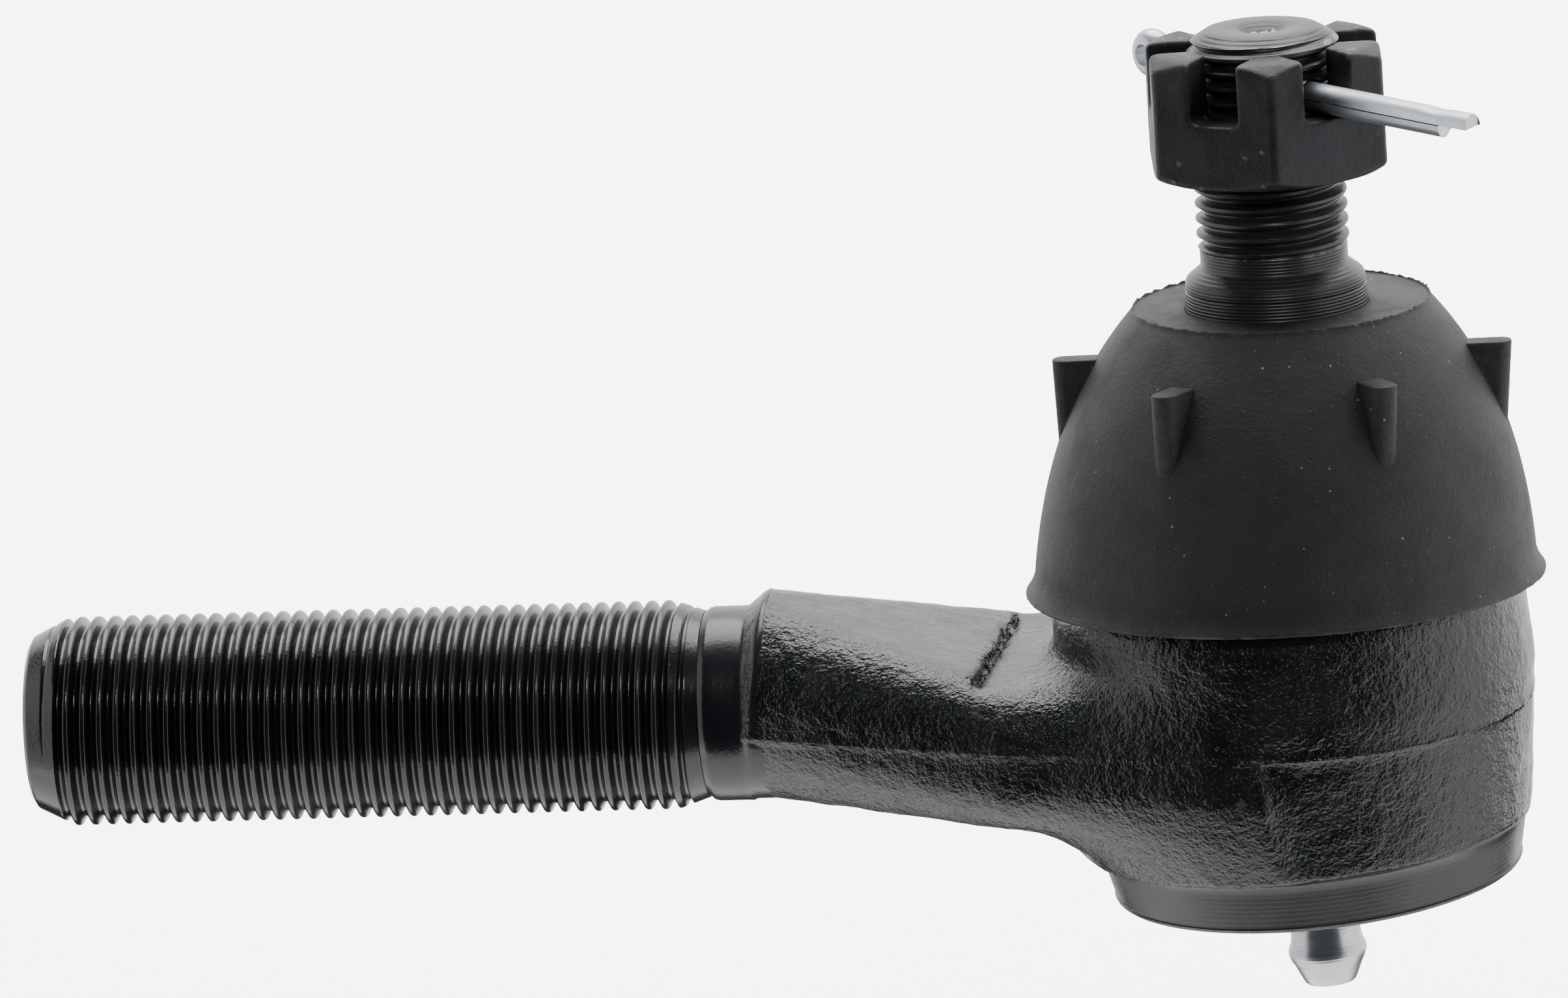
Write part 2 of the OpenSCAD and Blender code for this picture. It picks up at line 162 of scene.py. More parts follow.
makeCamera()
makeStage()
softLight("overhead", (-0.02, 0.3, 0.6), (-0.03, 0.1, 0), (0.8, 0.5), 9)
softLight("behind", (0, 0.7, 0.1), (0, 0, 0.05), (1.5, 0.9), 9)
softLight("leftSide", (-0.62, 0.12, 0.02), (0, 0.12, 0.02), (0.9, 0.9), 3.4)
softLight("rightSide", (0.6, 0.08, 0.02), (0, 0.08, 0.02), (0.95, 0.9), 4.2)
softLight("front", (0.16, -0.7, 0.6), (0, 0, 0.01), (0.24, 0.12), 1.7)
softLight("under", (-0.04, -0.02, fittingTip * mm - 0.2), (-0.04, 0, 0), (0.7, 0.36), 1.6)
print("camera, lights and floor made")


# shader groups

class Field:                                 # a number that a node tree works out at each point
    def __init__(self, tree, socket):
        self.tree = tree
        self.socket = socket

    def __add__(self, other):
        return maths(self.tree, "ADD", self, other)

    def __sub__(self, other):
        return maths(self.tree, "SUBTRACT", self, other)

    def __rsub__(self, other):
        return maths(self.tree, "SUBTRACT", other, self)

    def __mul__(self, other):
        return maths(self.tree, "MULTIPLY", self, other)

    def __truediv__(self, other):
        return maths(self.tree, "DIVIDE", self, other)

    def __abs__(self):
        return maths(self.tree, "ABSOLUTE", self)

    __radd__ = __add__
    __rmul__ = __mul__


def maths(tree, operation, *values):
    node = tree.nodes.new("ShaderNodeMath")
    node.operation = operation
    for slot, value in zip(node.inputs, values):
        if isinstance(value, Field):
            tree.links.new(value.socket, slot)
        else:
            slot.default_value = value
    return Field(tree, node.outputs[0])


def low(a, b):
    return maths(a.tree, "MINIMUM", a, b)


def high(a, b):
    return maths(a.tree, "MAXIMUM", a, b)


def across(a, b):
    return maths(a.tree, "SQRT", a * a + b * b)


def smoothRamp(value, start, end):           # 0 before start, 1 after end
    node = value.tree.nodes.new("ShaderNodeMapRange")
    node.interpolation_type = "SMOOTHSTEP"
    value.tree.links.new(value.socket, node.inputs["Value"])
    node.inputs["From Min"].default_value = start
    node.inputs["From Max"].default_value = end
    return Field(value.tree, node.outputs["Result"])


def xyz(tree, vector):
    node = tree.nodes.new("ShaderNodeSeparateXYZ")
    tree.links.new(vector, node.inputs[0])
    return [Field(tree, output) for output in node.outputs]


def vectorOf(tree, *values):
    node = tree.nodes.new("ShaderNodeCombineXYZ")
    for slot, value in zip(node.inputs, values):
        if isinstance(value, Field):
            tree.links.new(value.socket, slot)
        else:
            slot.default_value = value
    return node.outputs[0]


def cloud(tree, vector, scale, detail=2, roughness=0.5):
    node = tree.nodes.new("ShaderNodeTexNoise")
    tree.links.new(vector, node.inputs["Vector"])
    if isinstance(scale, Field):
        tree.links.new(scale.socket, node.inputs["Scale"])
    else:
        node.inputs["Scale"].default_value = scale
    node.inputs["Detail"].default_value = detail
    node.inputs["Roughness"].default_value = roughness
    return Field(tree, node.outputs[0])


def openGroup(name, inputs, outputs):
    tree = bpy.data.node_groups.new(name, "ShaderNodeTree")
    for label, value in inputs.items():
        kind = "NodeSocketVector" if isinstance(value, tuple) else "NodeSocketFloat"
        socket = tree.interface.new_socket(label, in_out="INPUT", socket_type=kind)
        socket.default_value = value
    for label in outputs:
        tree.interface.new_socket(label, in_out="OUTPUT", socket_type="NodeSocketFloat")
    source = tree.nodes.new("NodeGroupInput")
    target = tree.nodes.new("NodeGroupOutput")
    fields = {label: Field(tree, source.outputs[label]) for label in inputs}
    point = tree.nodes.new("ShaderNodeTexCoord").outputs["Object"]
    return tree, fields, target, point


def grainGroup():                            # bumps of two sizes, and patches that vary slowly
    inputs = {"Coarse": 900.0, "Fine": 4000.0, "Balance": 0.4}
    tree, field, target, point = openGroup("grain", inputs, ("Height", "Patches"))
    coarse = cloud(tree, point, field["Coarse"], 3, 0.6)
    fine = cloud(tree, point, field["Fine"], 2, 0.6)
    height = coarse + (fine - coarse) * field["Balance"]
    patches = cloud(tree, point, field["Coarse"] * 0.13, 3, 0.6)
    tree.links.new(height.socket, target.inputs["Height"])
    tree.links.new(smoothRamp(patches, 0.32, 0.68).socket, target.inputs["Patches"])
    return tree


def wearGroup():                             # the convex edges, broken up by noise
    inputs = {"Start": 0.53, "Breakup": 0.5}
    tree, field, target, point = openGroup("edgeWear", inputs, ("Mask",))
    shape = tree.nodes.new("ShaderNodeNewGeometry")
    sharp = Field(tree, shape.outputs["Pointiness"])
    rough = cloud(tree, point, 1300, 4, 0.65) - 0.5
    lifted = sharp + rough * field["Breakup"] * 0.1 - field["Start"]
    mask = smoothRamp(lifted, 0.0, 0.035)
    tree.links.new(mask.socket, target.inputs["Mask"])
    return tree


def turnedGroup():                           # rings left by a turning tool round an axis
    inputs = {"Axis": (0.0, 0.0, 1.0), "Pitch": 0.00027, "Jitter": 0.6}
    tree, field, target, point = openGroup("turnedRings", inputs, ("Height", "Streaks"))
    dot = tree.nodes.new("ShaderNodeVectorMath")
    dot.operation = "DOT_PRODUCT"
    tree.links.new(point, dot.inputs[0])
    tree.links.new(field["Axis"].socket, dot.inputs[1])
    along = Field(tree, dot.outputs["Value"])
    turns = along / field["Pitch"]
    slow = cloud(tree, vectorOf(tree, turns, 0, 0), 0.31, 3, 0.7)
    streak = cloud(tree, vectorOf(tree, turns * 2.3, 4, 0), 1.0, 2, 0.7)
    wave = maths(tree, "SINE", turns * math.tau + slow * field["Jitter"] * 9)
    height = wave * 0.5 + 0.5
    tree.links.new((height * (slow + 0.3)).socket, target.inputs["Height"])
    tree.links.new(streak.socket, target.inputs["Streaks"])
    return tree


def speckGroup():                            # small bright specks of dust, and a soft film
    inputs = {"Scale": 900.0, "Amount": 0.16, "Size": 0.16}
    tree, field, target, point = openGroup("dust", inputs, ("Specks", "Film"))
    cells = tree.nodes.new("ShaderNodeTexVoronoi")
    tree.links.new(point, cells.inputs["Vector"])
    tree.links.new(field["Scale"].socket, cells.inputs["Scale"])
    distance = Field(tree, cells.outputs["Distance"])
    chance = xyz(tree, cells.outputs["Color"])[0]
    chosen = maths(tree, "LESS_THAN", chance, field["Amount"])
    near = maths(tree, "LESS_THAN", distance, field["Size"] * (chance * 3 + 0.4))
    film = cloud(tree, point, field["Scale"] * 0.2, 4, 0.7)
    tree.links.new((near * chosen).socket, target.inputs["Specks"])
    tree.links.new(smoothRamp(film, 0.45, 0.75).socket, target.inputs["Film"])
    return tree


grain = grainGroup()
edgeWear = wearGroup()
turnedRings = turnedGroup()
dust = speckGroup()


# materials

arm = {"end": -44.0, "neck": 8.1, "neck start": -45.6, "neck slope": 0.83, "root": -23.4,
       "end radius": 8.68, "end rise": 0.75, "root width": 15.0, "root height": 6.2,
       "root edge": 5.0, "root drop": 2.2, "heel": 2.4, "heel length": 17.5, "crease": -24.94,
       "crease slant": 0.0537, "shelf top": 3.75, "fillet": 3.0, "under fillet": 4.5,
       "notch": 0.3, "parting": -0.7, "scale lumps": 0.13, "scale bumps": 0.06}


class Finish:                                # one material while its nodes are put together
    def __init__(self, name, roughness, metallic=0.0):
        self.material = bpy.data.materials.new(name)
        self.material.use_nodes = True
        self.tree = self.material.node_tree
        self.shader = self.tree.nodes["Principled BSDF"]
        self.shader.inputs["Roughness"].default_value = roughness
        self.shader.inputs["Metallic"].default_value = metallic

    def group(self, tree, **values):
        node = self.tree.nodes.new("ShaderNodeGroup")
        node.node_tree = tree
        for label, value in values.items():
            node.inputs[label].default_value = value
        return {output.name: Field(self.tree, output) for output in node.outputs}

    def blend(self, mask, first, second):
        node = self.tree.nodes.new("ShaderNodeMix")
        node.data_type = "RGBA"
        self.tree.links.new(mask.socket, node.inputs["Factor"])
        for slot, value in ((node.inputs["A"], first), (node.inputs["B"], second)):
            if isinstance(value, tuple):
                slot.default_value = (*value, 1)
            else:
                self.tree.links.new(value, slot)
        return node.outputs["Result"]

    def color(self, socket):
        self.tree.links.new(socket, self.shader.inputs["Base Color"])

    def roughness(self, field):
        self.tree.links.new(field.socket, self.shader.inputs["Roughness"])

    def bump(self, height, distance, strength=1.0):
        node = self.tree.nodes.new("ShaderNodeBump")
        node.inputs["Strength"].default_value = strength
        node.inputs["Distance"].default_value = distance * mm
        self.tree.links.new(height.socket, node.inputs["Height"])
        self.tree.links.new(node.outputs["Normal"], self.shader.inputs["Normal"])


def bellCurve(value, width):
    return maths(value.tree, "EXPONENT", value * value * (-1 / width ** 2))


def blackPaint(name, coarse, fine, depth, base=0.2, forged=None):    # gloss over a forged skin
    finish = Finish(name, base)
    skin = finish.group(grain, Coarse=coarse, Fine=fine, Balance=0.35)
    worn = finish.group(edgeWear, Start=0.56, Breakup=0.9)
    motes = finish.group(dust, Scale=700.0, Amount=0.05, Size=0.12)
    coat = finish.blend(skin["Patches"], (0.0035, 0.004, 0.0055), (0.009, 0.0095, 0.012))
    rubbed = finish.blend(worn["Mask"] * 0.5, coat, (0.06, 0.062, 0.066))
    finish.color(finish.blend(motes["Specks"] * 0.35, rubbed, (0.3, 0.3, 0.3)))
    finish.roughness(skin["Patches"] * 0.12 + worn["Mask"] * 0.12 + base)
    height = skin["Height"]
    if forged:                               # the torn line across the arm, and the parting line
        point = finish.tree.nodes.new("ShaderNodeTexCoord").outputs["Object"]
        x, y, z = [value / mm for value in xyz(finish.tree, point)]
        ragged = cloud(finish.tree, point, 900, 2, 0.6) - 0.5
        off = x - forged["crease"] - y * forged["crease slant"] + ragged * 0.9
        torn = bellCurve(off, 0.16) * smoothRamp(z, 1.5, 3.0)
        torn = torn * (1 - smoothRamp(abs(y), 9.0, 11.5))
        ridge = bellCurve(z - forged["parting"] + ragged * 0.5, 0.16)
        height = height + ridge * (smoothRamp(x, -8, 14) * 0.4 + 0.08) - torn * 1.6
    finish.bump(height, depth)
    finish.shader.inputs["IOR"].default_value = 1.55
    return finish.material


def satinLip():
    finish = Finish("lipPaint", 0.36)
    skin = finish.group(grain, Coarse=700.0, Fine=5200.0, Balance=0.5)
    rings = finish.group(turnedRings, Axis=tuple(housingAxis), Pitch=0.00042, Jitter=0.8)
    worn = finish.group(edgeWear, Start=0.54, Breakup=0.8)
    coat = finish.blend(skin["Patches"], (0.017, 0.0175, 0.018), (0.034, 0.035, 0.035))
    finish.color(finish.blend(worn["Mask"] * 0.6, coat, (0.14, 0.14, 0.14)))
    finish.roughness(skin["Patches"] * 0.15 + 0.3)
    finish.bump(skin["Height"] * 0.7 + rings["Height"] * 0.15, 0.05)
    return finish.material


def bootRubber():
    finish = Finish("bootRubber", 0.6)
    skin = finish.group(grain, Coarse=2600.0, Fine=9000.0, Balance=0.5)
    motes = finish.group(dust, Scale=900.0, Amount=0.3, Size=0.09)
    hairs = finish.group(dust, Scale=2200.0, Amount=0.2, Size=0.16)
    worn = finish.group(edgeWear, Start=0.53, Breakup=0.6)
    base = finish.blend(skin["Patches"], (0.0065, 0.007, 0.0088), (0.014, 0.0145, 0.017))
    filmed = finish.blend(motes["Film"] * 0.35, base, (0.024, 0.023, 0.023))
    edged = finish.blend(worn["Mask"] * 0.5, filmed, (0.045, 0.045, 0.047))
    dusty = finish.blend(hairs["Specks"] * 0.4, edged, (0.2, 0.19, 0.18))
    finish.color(finish.blend(motes["Specks"] * 0.6, dusty, (0.34, 0.32, 0.29)))
    finish.roughness(motes["Film"] * 0.14 + skin["Height"] * 0.1 + 0.5)
    finish.bump(skin["Height"], 0.17)
    return finish.material


def phosphateSteel():
    finish = Finish("phosphateSteel", 0.5, 0.2)
    skin = finish.group(grain, Coarse=1900.0, Fine=7000.0, Balance=0.5)
    worn = finish.group(edgeWear, Start=0.53, Breakup=1.0)
    patina = finish.group(dust, Scale=420.0, Amount=0.3, Size=0.2)
    base = finish.blend(skin["Patches"], (0.007, 0.008, 0.0108), (0.021, 0.0225, 0.0275))
    mottled = finish.blend(patina["Film"] * 0.5, base, (0.034, 0.031, 0.028))
    flecked = finish.blend(patina["Specks"] * 0.2, mottled, (0.07, 0.064, 0.056))
    finish.color(finish.blend(worn["Mask"] * 0.75, flecked, (0.13, 0.115, 0.1)))
    finish.roughness(skin["Patches"] * 0.16 - worn["Mask"] * 0.08 + 0.42)
    finish.bump(skin["Height"], 0.1)
    return finish.material


def oxideSteel():                            # the stud: turned rings under a brown-black oxide
    finish = Finish("oxideSteel", 0.4, 0.6)
    rings = finish.group(turnedRings, Axis=tuple(studAxis), Pitch=0.00027, Jitter=0.5)
    skin = finish.group(grain, Coarse=1500.0, Fine=6000.0, Balance=0.5)
    worn = finish.group(edgeWear, Start=0.54, Breakup=0.8)
    base = finish.blend(rings["Streaks"], (0.02, 0.0195, 0.019), (0.1, 0.095, 0.09))
    tinted = finish.blend(skin["Patches"] * 0.5, base, (0.075, 0.065, 0.054))
    rubbed = finish.blend(worn["Mask"] * 0.9, tinted, (0.27, 0.255, 0.24))
    point = finish.tree.nodes.new("ShaderNodeTexCoord").outputs["Object"]
    x, y, z = xyz(finish.tree, point)
    tip = studAxis * studTop * mm
    off = across(x - tip.x, y - tip.y)
    smear = cloud(finish.tree, point, 1500, 3, 0.7) * 0.0028
    dab = maths(finish.tree, "LESS_THAN", off + smear, 0.0025)
    dab = dab * maths(finish.tree, "GREATER_THAN", z, tip.z - 0.0016)
    finish.color(finish.blend(dab, rubbed, (0.55, 0.45, 0.32)))
    finish.roughness(rings["Streaks"] * 0.2 + dab * 0.2 + 0.26)
    finish.bump(rings["Height"] * 0.7 + skin["Height"] * 0.5, 0.06)
    return finish.material


def brightSteel(name, axis, pitch, tint, base):    # zinc plate or polished steel, with fine lines
    finish = Finish(name, base, 1.0)
    rings = finish.group(turnedRings, Axis=tuple(axis), Pitch=pitch, Jitter=0.9)
    skin = finish.group(grain, Coarse=1400.0, Fine=5200.0, Balance=0.5)
    dark = tuple(value * 0.55 for value in tint)
    finish.color(finish.blend(skin["Patches"] * 0.4 + rings["Streaks"] * 0.5, tint, dark))
    finish.roughness(rings["Streaks"] * 0.16 + skin["Patches"] * 0.1 + base)
    finish.bump(rings["Height"] * 0.5 + skin["Height"] * 0.5, 0.02)
    return finish.material


def sinteredMetal():                         # porous bearing rings, soaked in grease
    finish = Finish("sinteredBearing", 0.45, 0.7)
    skin = finish.group(grain, Coarse=3200.0, Fine=9000.0, Balance=0.5)
    pores = finish.group(dust, Scale=1600.0, Amount=0.5, Size=0.2)
    base = finish.blend(skin["Patches"], (0.2, 0.17, 0.13), (0.3, 0.26, 0.2))
    finish.color(finish.blend(pores["Specks"], base, (0.05, 0.042, 0.035)))
    finish.roughness(skin["Patches"] * 0.2 + 0.34)
    finish.bump(skin["Height"] - pores["Specks"] * 0.5, 0.04)
    return finish.material


finishes = {
    "forgedSkin": blackPaint("forgedPaint", 1250.0, 3400.0, 0.3, 0.16, arm),
    "turnedSkin": blackPaint("turnedPaint", 420.0, 3000.0, 0.05, 0.16),
    "lip": satinLip(),
    "rubber": bootRubber(),
    "phosphate": phosphateSteel(),
    "oxide": oxideSteel(),
    "zinc": brightSteel("brightZinc", housingAxis, 0.00031, (0.66, 0.68, 0.7), 0.2),
    "wire": brightSteel("drawnWire", studAxis, 0.00055, (0.74, 0.78, 0.82), 0.3),
    "cover": brightSteel("coverSteel", housingAxis, 0.0009, (0.17, 0.165, 0.16), 0.34),
    "spring": brightSteel("springSteel", housingAxis, 0.0007, (0.24, 0.25, 0.27), 0.3),
    "polished": brightSteel("polishedSteel", housingAxis, 0.0002, (0.7, 0.7, 0.7), 0.1),
    "sintered": sinteredMetal(),
}
print("materials made", len(finishes))


# mesh helpers

def addPiece(name, mesh, body, slot, *nodes, place=None, scale=mm, smooth=40):
    if place is not None:
        mesh.transform(place)
    mesh.transform(Matrix.Scale(scale, 4))
    mesh.update()
    piece = bpy.data.objects.new(name, mesh)
    scene.collection.objects.link(piece)
    if smooth:
        mesh.shade_smooth()
        mesh.set_sharp_from_angle(angle=math.radians(smooth))
    if body:
        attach(piece, body)
    if nodes:
        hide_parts(*nodes)
    return piece


def meshFrom(build, name, material):
    mesh = bpy.data.meshes.new(name)
    build.to_mesh(mesh)
    build.free()
    mesh.materials.append(material)
    return mesh


def revolve(name, outline, material, sides=128, closed=False, shape=None):
    # outline is a list of radius and height; shape(angle, radius, height) may bend each point
    build = bmesh.new()
    rings = []
    for radius, height in outline:
        if radius < 1e-6:
            rings.append([build.verts.new((0, 0, height))])
            continue
        ring = []
        for step in range(sides):
            angle = math.tau * step / sides
            r, h = shape(angle, radius, height) if shape else (radius, height)
            ring.append(build.verts.new((r * math.cos(angle), r * math.sin(angle), h)))
        rings.append(ring)
    pairs = list(zip(rings, rings[1:]))
    if closed:
        pairs.append((rings[-1], rings[0]))
    for first, second in pairs:
        for step in range(sides):
            after = (step + 1) % sides
            if len(first) == 1 and len(second) == 1:
                continue
            if len(first) == 1:
                build.faces.new((first[0], second[after], second[step]))
            elif len(second) == 1:
                build.faces.new((first[step], first[after], second[0]))
            else:
                build.faces.new((first[step], first[after], second[after], second[step]))
    bmesh.ops.recalc_face_normals(build, faces=build.faces)
    return meshFrom(build, name, material)


def arcPoints(center, radius, start, end, steps):
    points = []
    for step in range(steps + 1):
        angle = math.radians(start + (end - start) * step / steps)
        points.append((center[0] + radius * math.cos(angle), center[1] + radius * math.sin(angle)))
    return points


def spaced(points, gap):                     # the same outline with extra points, none far apart
    made = [points[0]]
    for first, second in zip(points, points[1:]):
        count = max(1, round(math.dist(first, second) / gap))
        for step in range(1, count + 1):
            share = step / count
            made.append((first[0] + (second[0] - first[0]) * share,
                         first[1] + (second[1] - first[1]) * share))
    return made


def finalMesh(thing):                        # its mesh once its modifiers have run
    bpy.context.view_layer.update()
    graph = bpy.context.evaluated_depsgraph_get()
    return bpy.data.meshes.new_from_object(thing.evaluated_get(graph))


# geometry node helpers

def openTree(name, sizes):
    tree = bpy.data.node_groups.new(name, "GeometryNodeTree")
    for label in sizes:
        tree.interface.new_socket(label, in_out="INPUT", socket_type="NodeSocketFloat")
    tree.interface.new_socket("Material", in_out="INPUT", socket_type="NodeSocketMaterial")
    tree.interface.new_socket("Geometry", in_out="OUTPUT", socket_type="NodeSocketGeometry")
    source = tree.nodes.new("NodeGroupInput")
    return tree, {label: Field(tree, source.outputs[label]) for label in sizes}, source


def node(tree, kind, links=None, **settings):
    made = tree.nodes.new(kind)
    for label, value in settings.items():
        setattr(made, label, value)
    for label, value in (links or {}).items():
        slot = made.inputs[label]
        if isinstance(value, Field):
            tree.links.new(value.socket, slot)
        elif isinstance(value, bpy.types.NodeSocket):
            tree.links.new(value, slot)
        else:
            slot.default_value = value
    return made


def grow(name, tree, source, geometry, sizes, material):
    whole = node(tree, "GeometryNodeRealizeInstances", {"Geometry": geometry})
    painted = node(tree, "GeometryNodeSetMaterial", {"Geometry": whole.outputs[0],
                                                    "Material": source.outputs["Material"]})
    target = tree.nodes.new("NodeGroupOutput")
    tree.links.new(painted.outputs[0], target.inputs["Geometry"])
    seed = bpy.data.objects.new(name + "Seed", bpy.data.meshes.new(name + "Seed"))
    scene.collection.objects.link(seed)
    modifier = seed.modifiers.new("shape", "NODES")
    modifier.node_group = tree
    for item in tree.interface.items_tree:
        if item.in_out == "INPUT":
            value = material if item.name == "Material" else float(sizes[item.name])
            modifier[item.identifier] = value
    seed.update_tag()
    mesh = finalMesh(seed)
    seed.modifiers.remove(modifier)
    bpy.data.objects.remove(seed)
    mesh.name = name
    if not mesh.materials:
        mesh.materials.append(material)
    print("grown", name, len(mesh.polygons), "faces")
    return mesh


def carve(name, sizes, low3, high3, voxel, distance, material):
    # a solid from a distance rule: distance(tree, fields, x, y, z) is below zero inside it
    tree, field, source = openTree(name, sizes)
    position = node(tree, "GeometryNodeInputPosition").outputs[0]
    x, y, z = xyz(tree, position)
    gap = distance(tree, field, x, y, z)
    density = clamp(tree, 0.5 - gap / (voxel * 4))
    counts = [round((b - a) / voxel) for a, b in zip(low3, high3)]
    block = node(tree, "GeometryNodeVolumeCube",
                 {"Density": density, "Min": low3, "Max": high3,
                  "Resolution X": counts[0], "Resolution Y": counts[1],
                  "Resolution Z": counts[2]})
    skin = node(tree, "GeometryNodeVolumeToMesh",
                {"Volume": block.outputs[0], "Threshold": 0.5})
    return grow(name, tree, source, skin.outputs[0], sizes, material)


def roundBoth(a, b, radius):                 # inside both, with the edge rounded
    u = high(a + radius, 0)
    v = high(b + radius, 0)
    return low(high(a, b), -radius) + across(u, v)


def roundEither(a, b, radius):               # inside either, with a fillet between them
    u = high(radius - a, 0)
    v = high(radius - b, 0)
    return high(low(a, b), radius) - across(u, v)


def clamp(tree, value):                      # held between 0 and 1
    return Field(tree, node(tree, "ShaderNodeClamp", {"Value": value}).outputs[0])


# forging: housing and arm, whose sizes stand before the materials, as its paint needs them

housing = {"belt radius": 19.85, "belt": 1.3, "draft": 6.9, "upper draft": 2.2, "crown": 13.0,
           "crown edge": 5.0, "foot": -11.75, "foot edge": 0.3, "bore": 15.18, "shelf": 7.99,
           "mouth slope": 20.0, "mouth": 6.1}


def forgingGap(tree, size, x, y, z):
    lean = math.atan2(-housingAxis.x, housingAxis.z)
    hx = x * math.cos(lean) + z * math.sin(lean)
    hz = z * math.cos(lean) - x * math.sin(lean)
    r = across(hx, y)
    rise = hz - size["belt"]
    below = r - size["belt radius"] - rise * math.tan(math.radians(housing["draft"]))
    above = r - size["belt radius"] + rise * math.tan(math.radians(housing["upper draft"]))
    body = roundBoth(high(below, above), hz - size["crown"], housing["crown edge"])
    body = roundBoth(body, size["foot"] - hz, housing["foot edge"])

    span = arm["root"] - arm["end"]
    t = clamp(tree, (x - arm["end"]) / span)
    heel = clamp(tree, (x - arm["root"]) / arm["heel length"])
    wide = size["end radius"] + t * (size["root width"] - size["end radius"]) + heel * arm["heel"]
    tall = size["end radius"] + t * (size["root height"] - size["end radius"])
    edge = size["end radius"] + t * (size["root edge"] - size["end radius"])
    middle = arm["end rise"] - t * (arm["root drop"] + arm["end rise"])
    qy = abs(y) - wide + edge
    qz = abs(z - middle) - tall + edge
    section = across(high(qy, 0), high(qz, 0)) + low(high(qy, qz), 0) - edge
    limb = roundBoth(section * 0.92, arm["neck start"] - 0.3 - x, 0.2)
    turned = across(y, z) - arm["neck"] - (x - arm["neck start"]) * arm["neck slope"]
    limb = roundBoth(limb, turned * 0.77, 0.25)
    limb = high(limb, x + 4)
    wave = cloud(tree, vectorOf(tree, y * 0.35, 3.1, 0), 1.0, 2) - 0.5
    step = x - arm["crease"] - y * arm["crease slant"] + wave * 1.2
    limb = roundBoth(limb, low(step, z - size["shelf top"]), 0.35)

    fillet = smoothRamp(z * -1, -2.0, 5.0) * arm["under fillet"] + arm["fillet"]
    whole = roundEither(body, limb, fillet)
    whole = roundBoth(whole, size["foot"] - hz, housing["foot edge"])
    flash = bellCurve(z - arm["parting"], 0.34)
    whole = whole - flash * smoothRamp(r, 18.5, 19.5) * 0.17
    notch = bellCurve(step, 0.45) * smoothRamp(z, 1.5, 3.0)
    whole = whole + notch * (1 - smoothRamp(abs(y), 9.0, 11.5)) * arm["notch"]
    spot = vectorOf(tree, x, y, z)
    lumps = cloud(tree, spot, 0.42, 2, 0.5) - 0.5
    bumps = cloud(tree, spot, 1.5, 2, 0.55) - 0.5
    whole = whole + lumps * size["scale lumps"] * 2 + bumps * size["scale bumps"] * 2

    bore = high(r - housing["bore"], hz - housing["shelf"])
    slope = math.radians(housing["mouth slope"])
    mouth = (r - hz * math.tan(slope) - housing["mouth"]) * math.cos(slope)
    return high(whole, low(bore, mouth) * -1)


forgingSizes = {label: housing[label] for label in ("belt radius", "belt", "crown", "foot")}
for label in ("end radius", "root width", "root height", "root edge", "shelf top", "scale lumps",
              "scale bumps"):
    forgingSizes[label] = arm[label]
forgingVoxel = 0.36
forging = carve("forgedBody", forgingSizes, (-46.8, -21.2, -13.2), (21.4, 21.2, 14.8),
                forgingVoxel, forgingGap, finishes["forgedSkin"])
addPiece("forgedBody", forging, "socket", "forging", "socket_forging", smooth=0)
forging.shade_smooth()


# threads

def threadMesh(name, sizes, sides, rows, hand, material):
    # rows of a grid wound into one helix; rows outside the thread fold flat against its ends
    labels = ("radius", "pitch", "length", "depth", "start radius", "start slope", "end radius",
              "end slope", "recess", "recess depth")
    tree, field, source = openTree(name, labels)
    turns = sizes["length"] / sizes["pitch"] + 1
    pad = 4
    count = math.ceil(turns * rows) + 2 * pad
    sheet = node(tree, "GeometryNodeMeshGrid", {"Size X": count - 1, "Size Y": sides,
                                                "Vertices X": count, "Vertices Y": sides + 1})
    px, py, pz = xyz(tree, node(tree, "GeometryNodeInputPosition").outputs[0])
    row = px + (count - 1) / 2
    share = (py + sides / 2) / sides
    skew = share if hand > 0 else 1 - share
    raw = (row - pad) / rows - 1 + skew
    along = low(high(raw * field["pitch"], 0), field["length"])
    phase = maths(tree, "FRACT", along / field["pitch"] - skew + 2)
    crest = abs(phase - 0.5) * 2             # 0 in the root, 1 on the crest
    flank = smoothRamp(crest, 0.1, 0.8) * 0.35
    flank = flank + clamp(tree, (crest - 0.12) / 0.68) * 0.65
    radius = field["radius"] - field["depth"] * (1 - flank)
    radius = low(radius, field["start radius"] + along * field["start slope"])
    radius = low(radius, field["end radius"] + (field["length"] - along) * field["end slope"])
    bevel = field["end radius"] - 0.4 + (field["length"] - along) * 1.7
    radius = low(radius, bevel)
    first = maths(tree, "LESS_THAN", row, 0.5)
    last = maths(tree, "GREATER_THAN", row, count - 1.5)
    inner = maths(tree, "GREATER_THAN", row, count - 2.5)
    radius = radius + inner * (field["recess"] - radius)
    radius = radius * (1 - first) * (1 - last)
    along = along - last * field["recess depth"]
    angle = share * math.tau
    spot = vectorOf(tree, radius * maths(tree, "COSINE", angle),
                    radius * maths(tree, "SINE", angle), along)
    placed = node(tree, "GeometryNodeSetPosition", {"Geometry": sheet.outputs[0],
                                                    "Position": spot})
    merged = node(tree, "GeometryNodeMergeByDistance", {"Geometry": placed.outputs[0],
                                                        "Distance": 0.0005})
    mesh = grow(name, tree, source, merged.outputs[0], sizes, material)
    build = bmesh.new()
    build.from_mesh(mesh)
    bmesh.ops.dissolve_degenerate(build, dist=1e-5, edges=build.edges)
    bmesh.ops.recalc_face_normals(build, faces=build.faces)
    build.to_mesh(mesh)
    build.free()
    return mesh


